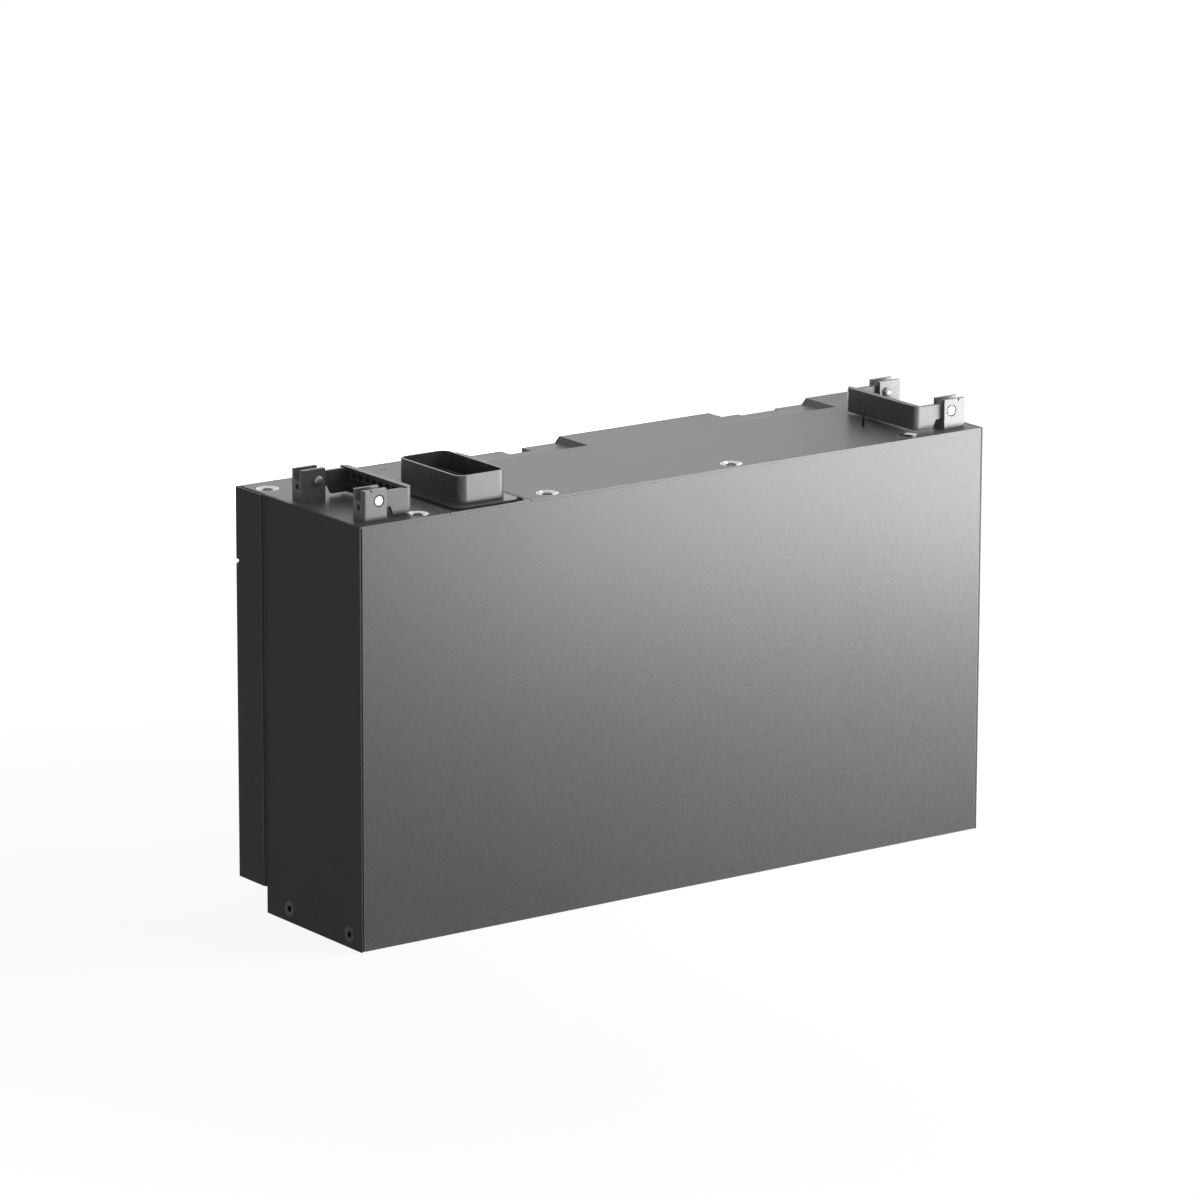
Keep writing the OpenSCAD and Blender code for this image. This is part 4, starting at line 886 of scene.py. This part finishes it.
class BATTERY_OT_screws(bpy.types.Operator):
    """Form the cups with rolled lips, turn the screws with their sockets, and finish the earth blade"""

    bl_idname = "battery.screws"
    bl_label = "Screws and earth blade"

    def execute(self, context):
        cups = turn_solids("screw_cups", "_formed", 2, self.cup)
        cups.data.materials[0] = turned_metal("cup_steel", context.scene.battery_metal.cup, 0.2)
        turn_solids("top_screws", "_turned", 2, self.top_screw)
        turn_solids("side_screws", "_turned", 0, self.side_screw, mirrored=True)
        round_edges("earth_blade", 0.2 * MM)
        coat_node("screw_cores")
        return {"FINISHED"}

    def cup(self, rim, base, top):
        """Pressed cup with a hole in its floor, from its outside over the rolled lip to its inside."""
        hole, floor, sheet, lip = 2.5 * MM, 5.4 * MM, 0.7 * MM, 0.12 * MM
        rows = [(hole, base), (floor, base), (floor + 0.3 * MM, base + 0.1 * MM)]
        rows += [(rim - 0.35 * MM, top - 0.35 * MM), (rim, top - lip), (rim - lip, top)]
        rows += [(rim - 0.6 * MM, top - 0.02 * MM), (rim - 0.95 * MM, top - 0.3 * MM)]
        rows += [(floor + 0.2 * MM, base + sheet + 0.2 * MM), (floor - 0.2 * MM, base + sheet)]
        return rows + [(hole, base + sheet), (hole, base)]

    def top_screw(self, head, tip, top):
        """Screw with a rounded head, from its tip over the head into the hexagon socket."""
        shank, under, floor = 2.4 * MM, top - 2.6 * MM, top - 1.6 * MM
        socket = hexagon(2 * MM)
        rows = [(0, tip), (shank - 0.4 * MM, tip), (shank, tip + 0.4 * MM), (shank, under - 0.01 * MM)]
        rows += [(head - 0.15 * MM, under), (head, under + 0.2 * MM), (head, top - 0.9 * MM)]
        rows += [(head - 0.3 * MM, top - 0.35 * MM), (head - 0.9 * MM, top - 0.05 * MM)]
        rows += [(head - 1.4 * MM, top), (socket + 0.25 * MM, top), (socket, top - 0.2 * MM)]
        return rows + [(socket, floor), (1.2 * MM, floor - 0.15 * MM), (0, floor - 0.15 * MM)]

    def side_screw(self, head, tip, face):
        """Countersunk screw, from its tip over the flat head into the hexagon socket."""
        shank, cone, floor = 2.75 * MM, face - 3.6 * MM, face - 2.8 * MM
        socket = hexagon(2.6 * MM)
        rows = [(0, tip), (shank - 0.45 * MM, tip), (shank, tip + 0.4 * MM), (shank, cone)]
        rows += [(head - 0.35 * MM, face - 0.45 * MM), (head, face - 0.2 * MM)]
        rows += [(head - 0.15 * MM, face - 0.03 * MM), (head - 0.6 * MM, face), (socket + 0.5 * MM, face)]
        return rows + [(socket, face - 0.35 * MM), (socket, floor), (0, floor - 0.4 * MM)]


class BATTERY_OT_plug(bpy.types.Operator):
    """Round the plug in the underside, and fit its rim seal and the vent"""

    bl_idname = "battery.plug"
    bl_label = "Plug and vent"

    def execute(self, context):
        look = context.scene.battery_fittings
        round_edges("plug_body", 0.8 * look.collar_edge)
        low, high = np.array(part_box("plug_seal"))
        radius, wall = 9 * MM, 3.05 * MM
        outer = rounded_outline(low, high, radius)
        inner = rounded_outline(low + wall, high - wall, radius - wall)
        crest, valley = low[2], low[2] + look.ridge
        profile = [(0, high[2]), (0, valley), (0.2, crest), (0.4, valley)]
        profile += [(0.6, valley), (0.8, crest), (1, valley), (1, high[2])]
        stand_in("plug_seal_lips", surface("plug_seal_lips", [band(inner, outer, profile)]), "plug_seal")
        round_edges("pressure_vent", 0.5 * MM, 3)
        coat_node("plug_contacts")
        return {"FINISHED"}


class BATTERY_OT_inside(bpy.types.Operator):
    """Finish the cells, the electronics and their leads"""

    bl_idname = "battery.inside"
    bl_label = "Inside"

    def execute(self, context):
        wire = wound_wire("coil_wire", context.scene.battery_metal.copper)
        for node, obj in NODES.items():
            if not obj.hide_render:
                coat_node(node, wire if node == "coils" else None)
        return {"FINISHED"}


class BATTERY_OT_stage(bpy.types.Operator):
    """Set the floor, the lamps, the white surroundings and the camera"""

    bl_idname = "battery.stage"
    bl_label = "Stage"

    def execute(self, context):
        scene = context.scene
        look = scene.battery_stage
        scene.view_settings.view_transform = "Standard"
        self.floor(scene, look)
        self.surroundings(scene, look)
        self.lamp(scene, "key", look.key, (1.2, 0.387), (0.831, -0.775, 0.198), (0.389, -0.05, 1.5))
        self.lamp(scene, "over", look.over, (0.7, 0.7), (0.55, -0.35, 0.95), (-0.1, -0.05, 0.4))
        self.lamp(scene, "back", look.back, (1.0, 1.0), (0.5, 1.18, 1.0), (-0.45, -0.05, 0.5))
        self.lamp(scene, "rear", look.rear, (0.8, 0.3), (0.75, 1.7, 0.2), (0, 0.1, 0.2))
        self.lamp(scene, "fill", look.fill, (0.3, 1.2), (-1.3, -2.2, 0.6), (-0.1, -0.05, 0.25))
        self.camera(scene, look)
        return {"FINISHED"}

    def floor(self, scene, look):
        """Pale floor: it looks white, with a painted shade that dims its glow near the object, keeps shadows,
        and sends little light back up.
        """
        reach = 14.0
        corners = [(-reach, -reach, 0), (reach, -reach, 0), (reach, reach, 0), (-reach, reach, 0)]
        mesh = bpy.data.meshes.new("floor")
        mesh.from_pydata(corners, [], [(0, 1, 2, 3)])
        floor = bpy.data.objects.new("floor", mesh)
        scene.collection.objects.link(floor)
        finish = Finish("pale_floor")
        pale = tint((1, 1, 1), look.floor)
        tone = finish.blend(finish.noise(0.4), pale, tint(pale, 1.02))
        finish.shade(Base_Color=tone, Roughness=0.9, Specular_IOR_Level=0.0)
        away = finish.add("VectorMath", {"operation": "LENGTH"}, {0: finish.place}, "Value")
        fade = {"Value": away, "From Min": look.white_from, "From Max": look.white_to}
        far = finish.add("MapRange", {"interpolation_type": "SMOOTHSTEP"}, fade)
        # The glow grows from near to full white with distance: a painted shade round the object's foot, which
        # the lower sides also mirror.
        white = finish.seen() * (far * (1 - look.near) + look.near)
        glow = finish.add("Emission", None, {"Color": (1, 1, 1, 1), "Strength": white})
        both = finish.add("AddShader", None, {0: Signal(finish, finish.shader.outputs[0]), 1: glow})
        finish.feed(finish.tree.nodes["Material Output"].inputs["Surface"], both)
        mesh.materials.append(finish.material)

    def surroundings(self, scene, look):
        """White to the eye and in reflections, and an even low light otherwise."""
        world = bpy.data.worlds.new("surroundings")
        world.use_nodes = True
        scene.world = world
        nodes = Nodes(world.node_tree)
        back = world.node_tree.nodes["Background"]
        back.inputs["Color"].default_value = (1, 1, 1, 1)
        nodes.feed(back.inputs["Strength"], nodes.seen() * (1 - look.sky) + look.sky)

    def lamp(self, scene, name, watts, width, place, target):
        """Soft flat lamp of this width and height at a place, turned to a target, and not seen itself."""
        light = bpy.data.lights.new(name, "AREA")
        light.energy = watts
        light.shape = "RECTANGLE"
        light.size, light.size_y = width
        lamp = bpy.data.objects.new(name, light)
        scene.collection.objects.link(lamp)
        lamp.location = place
        lamp.rotation_euler = (Vector(target) - Vector(place)).to_track_quat("-Z", "Y").to_euler()
        lamp.visible_camera = False

    def camera(self, scene, look):
        """Camera on its place, tilted, then turned, and leaning about its own line of sight."""
        lens = bpy.data.cameras.new("camera")
        lens.lens = look.lens
        lens.sensor_width = 36
        lens.clip_end = 100
        camera = bpy.data.objects.new("camera", lens)
        scene.collection.objects.link(camera)
        camera.location = look.place
        turn = Euler((look.pitch, 0, look.yaw), "XYZ").to_matrix() @ Matrix.Rotation(look.roll, 3, "Z")
        camera.rotation_euler = turn.to_euler()
        scene.camera = camera


class BATTERY_PT_sidebar(bpy.types.Panel):
    """Sizes, colours and steps of the battery module"""

    bl_idname = "BATTERY_PT_sidebar"
    bl_label = "Battery module"
    bl_space_type = "VIEW_3D"
    bl_region_type = "UI"
    bl_category = "Battery"

    def draw(self, context):
        for group in GROUPS:
            box = self.layout.box()
            box.label(text=group.__doc__)
            settings = getattr(context.scene, GROUPS[group])
            for name in group.__annotations__:
                box.prop(settings, name)
        for step in STEPS:
            self.layout.operator(step.bl_idname)


GROUPS = {
    BATTERY_PG_casing: "battery_casing",
    BATTERY_PG_fittings: "battery_fittings",
    BATTERY_PG_metal: "battery_metal",
    BATTERY_PG_inside: "battery_inside",
    BATTERY_PG_stage: "battery_stage",
}
STEPS = (
    BATTERY_OT_stage,
    BATTERY_OT_casing,
    BATTERY_OT_posts,
    BATTERY_OT_handles,
    BATTERY_OT_connector,
    BATTERY_OT_pins,
    BATTERY_OT_screws,
    BATTERY_OT_plug,
    BATTERY_OT_inside,
)
CLASSES = (*GROUPS, *STEPS, BATTERY_PT_sidebar)


def register():
    """Adds the classes and hangs the settings on the scene."""
    for one in CLASSES:
        bpy.utils.register_class(one)
    for group, name in GROUPS.items():
        setattr(bpy.types.Scene, name, PointerProperty(type=group))


def unregister():
    """Takes the settings and the classes away again."""
    for name in GROUPS.values():
        delattr(bpy.types.Scene, name)
    for one in reversed(CLASSES):
        bpy.utils.unregister_class(one)


def main():
    """Registers the classes and runs every step."""
    register()
    for step in STEPS:
        group, name = step.bl_idname.split(".")
        getattr(getattr(bpy.ops, group), name)()


if __name__ == "__main__":
    main()
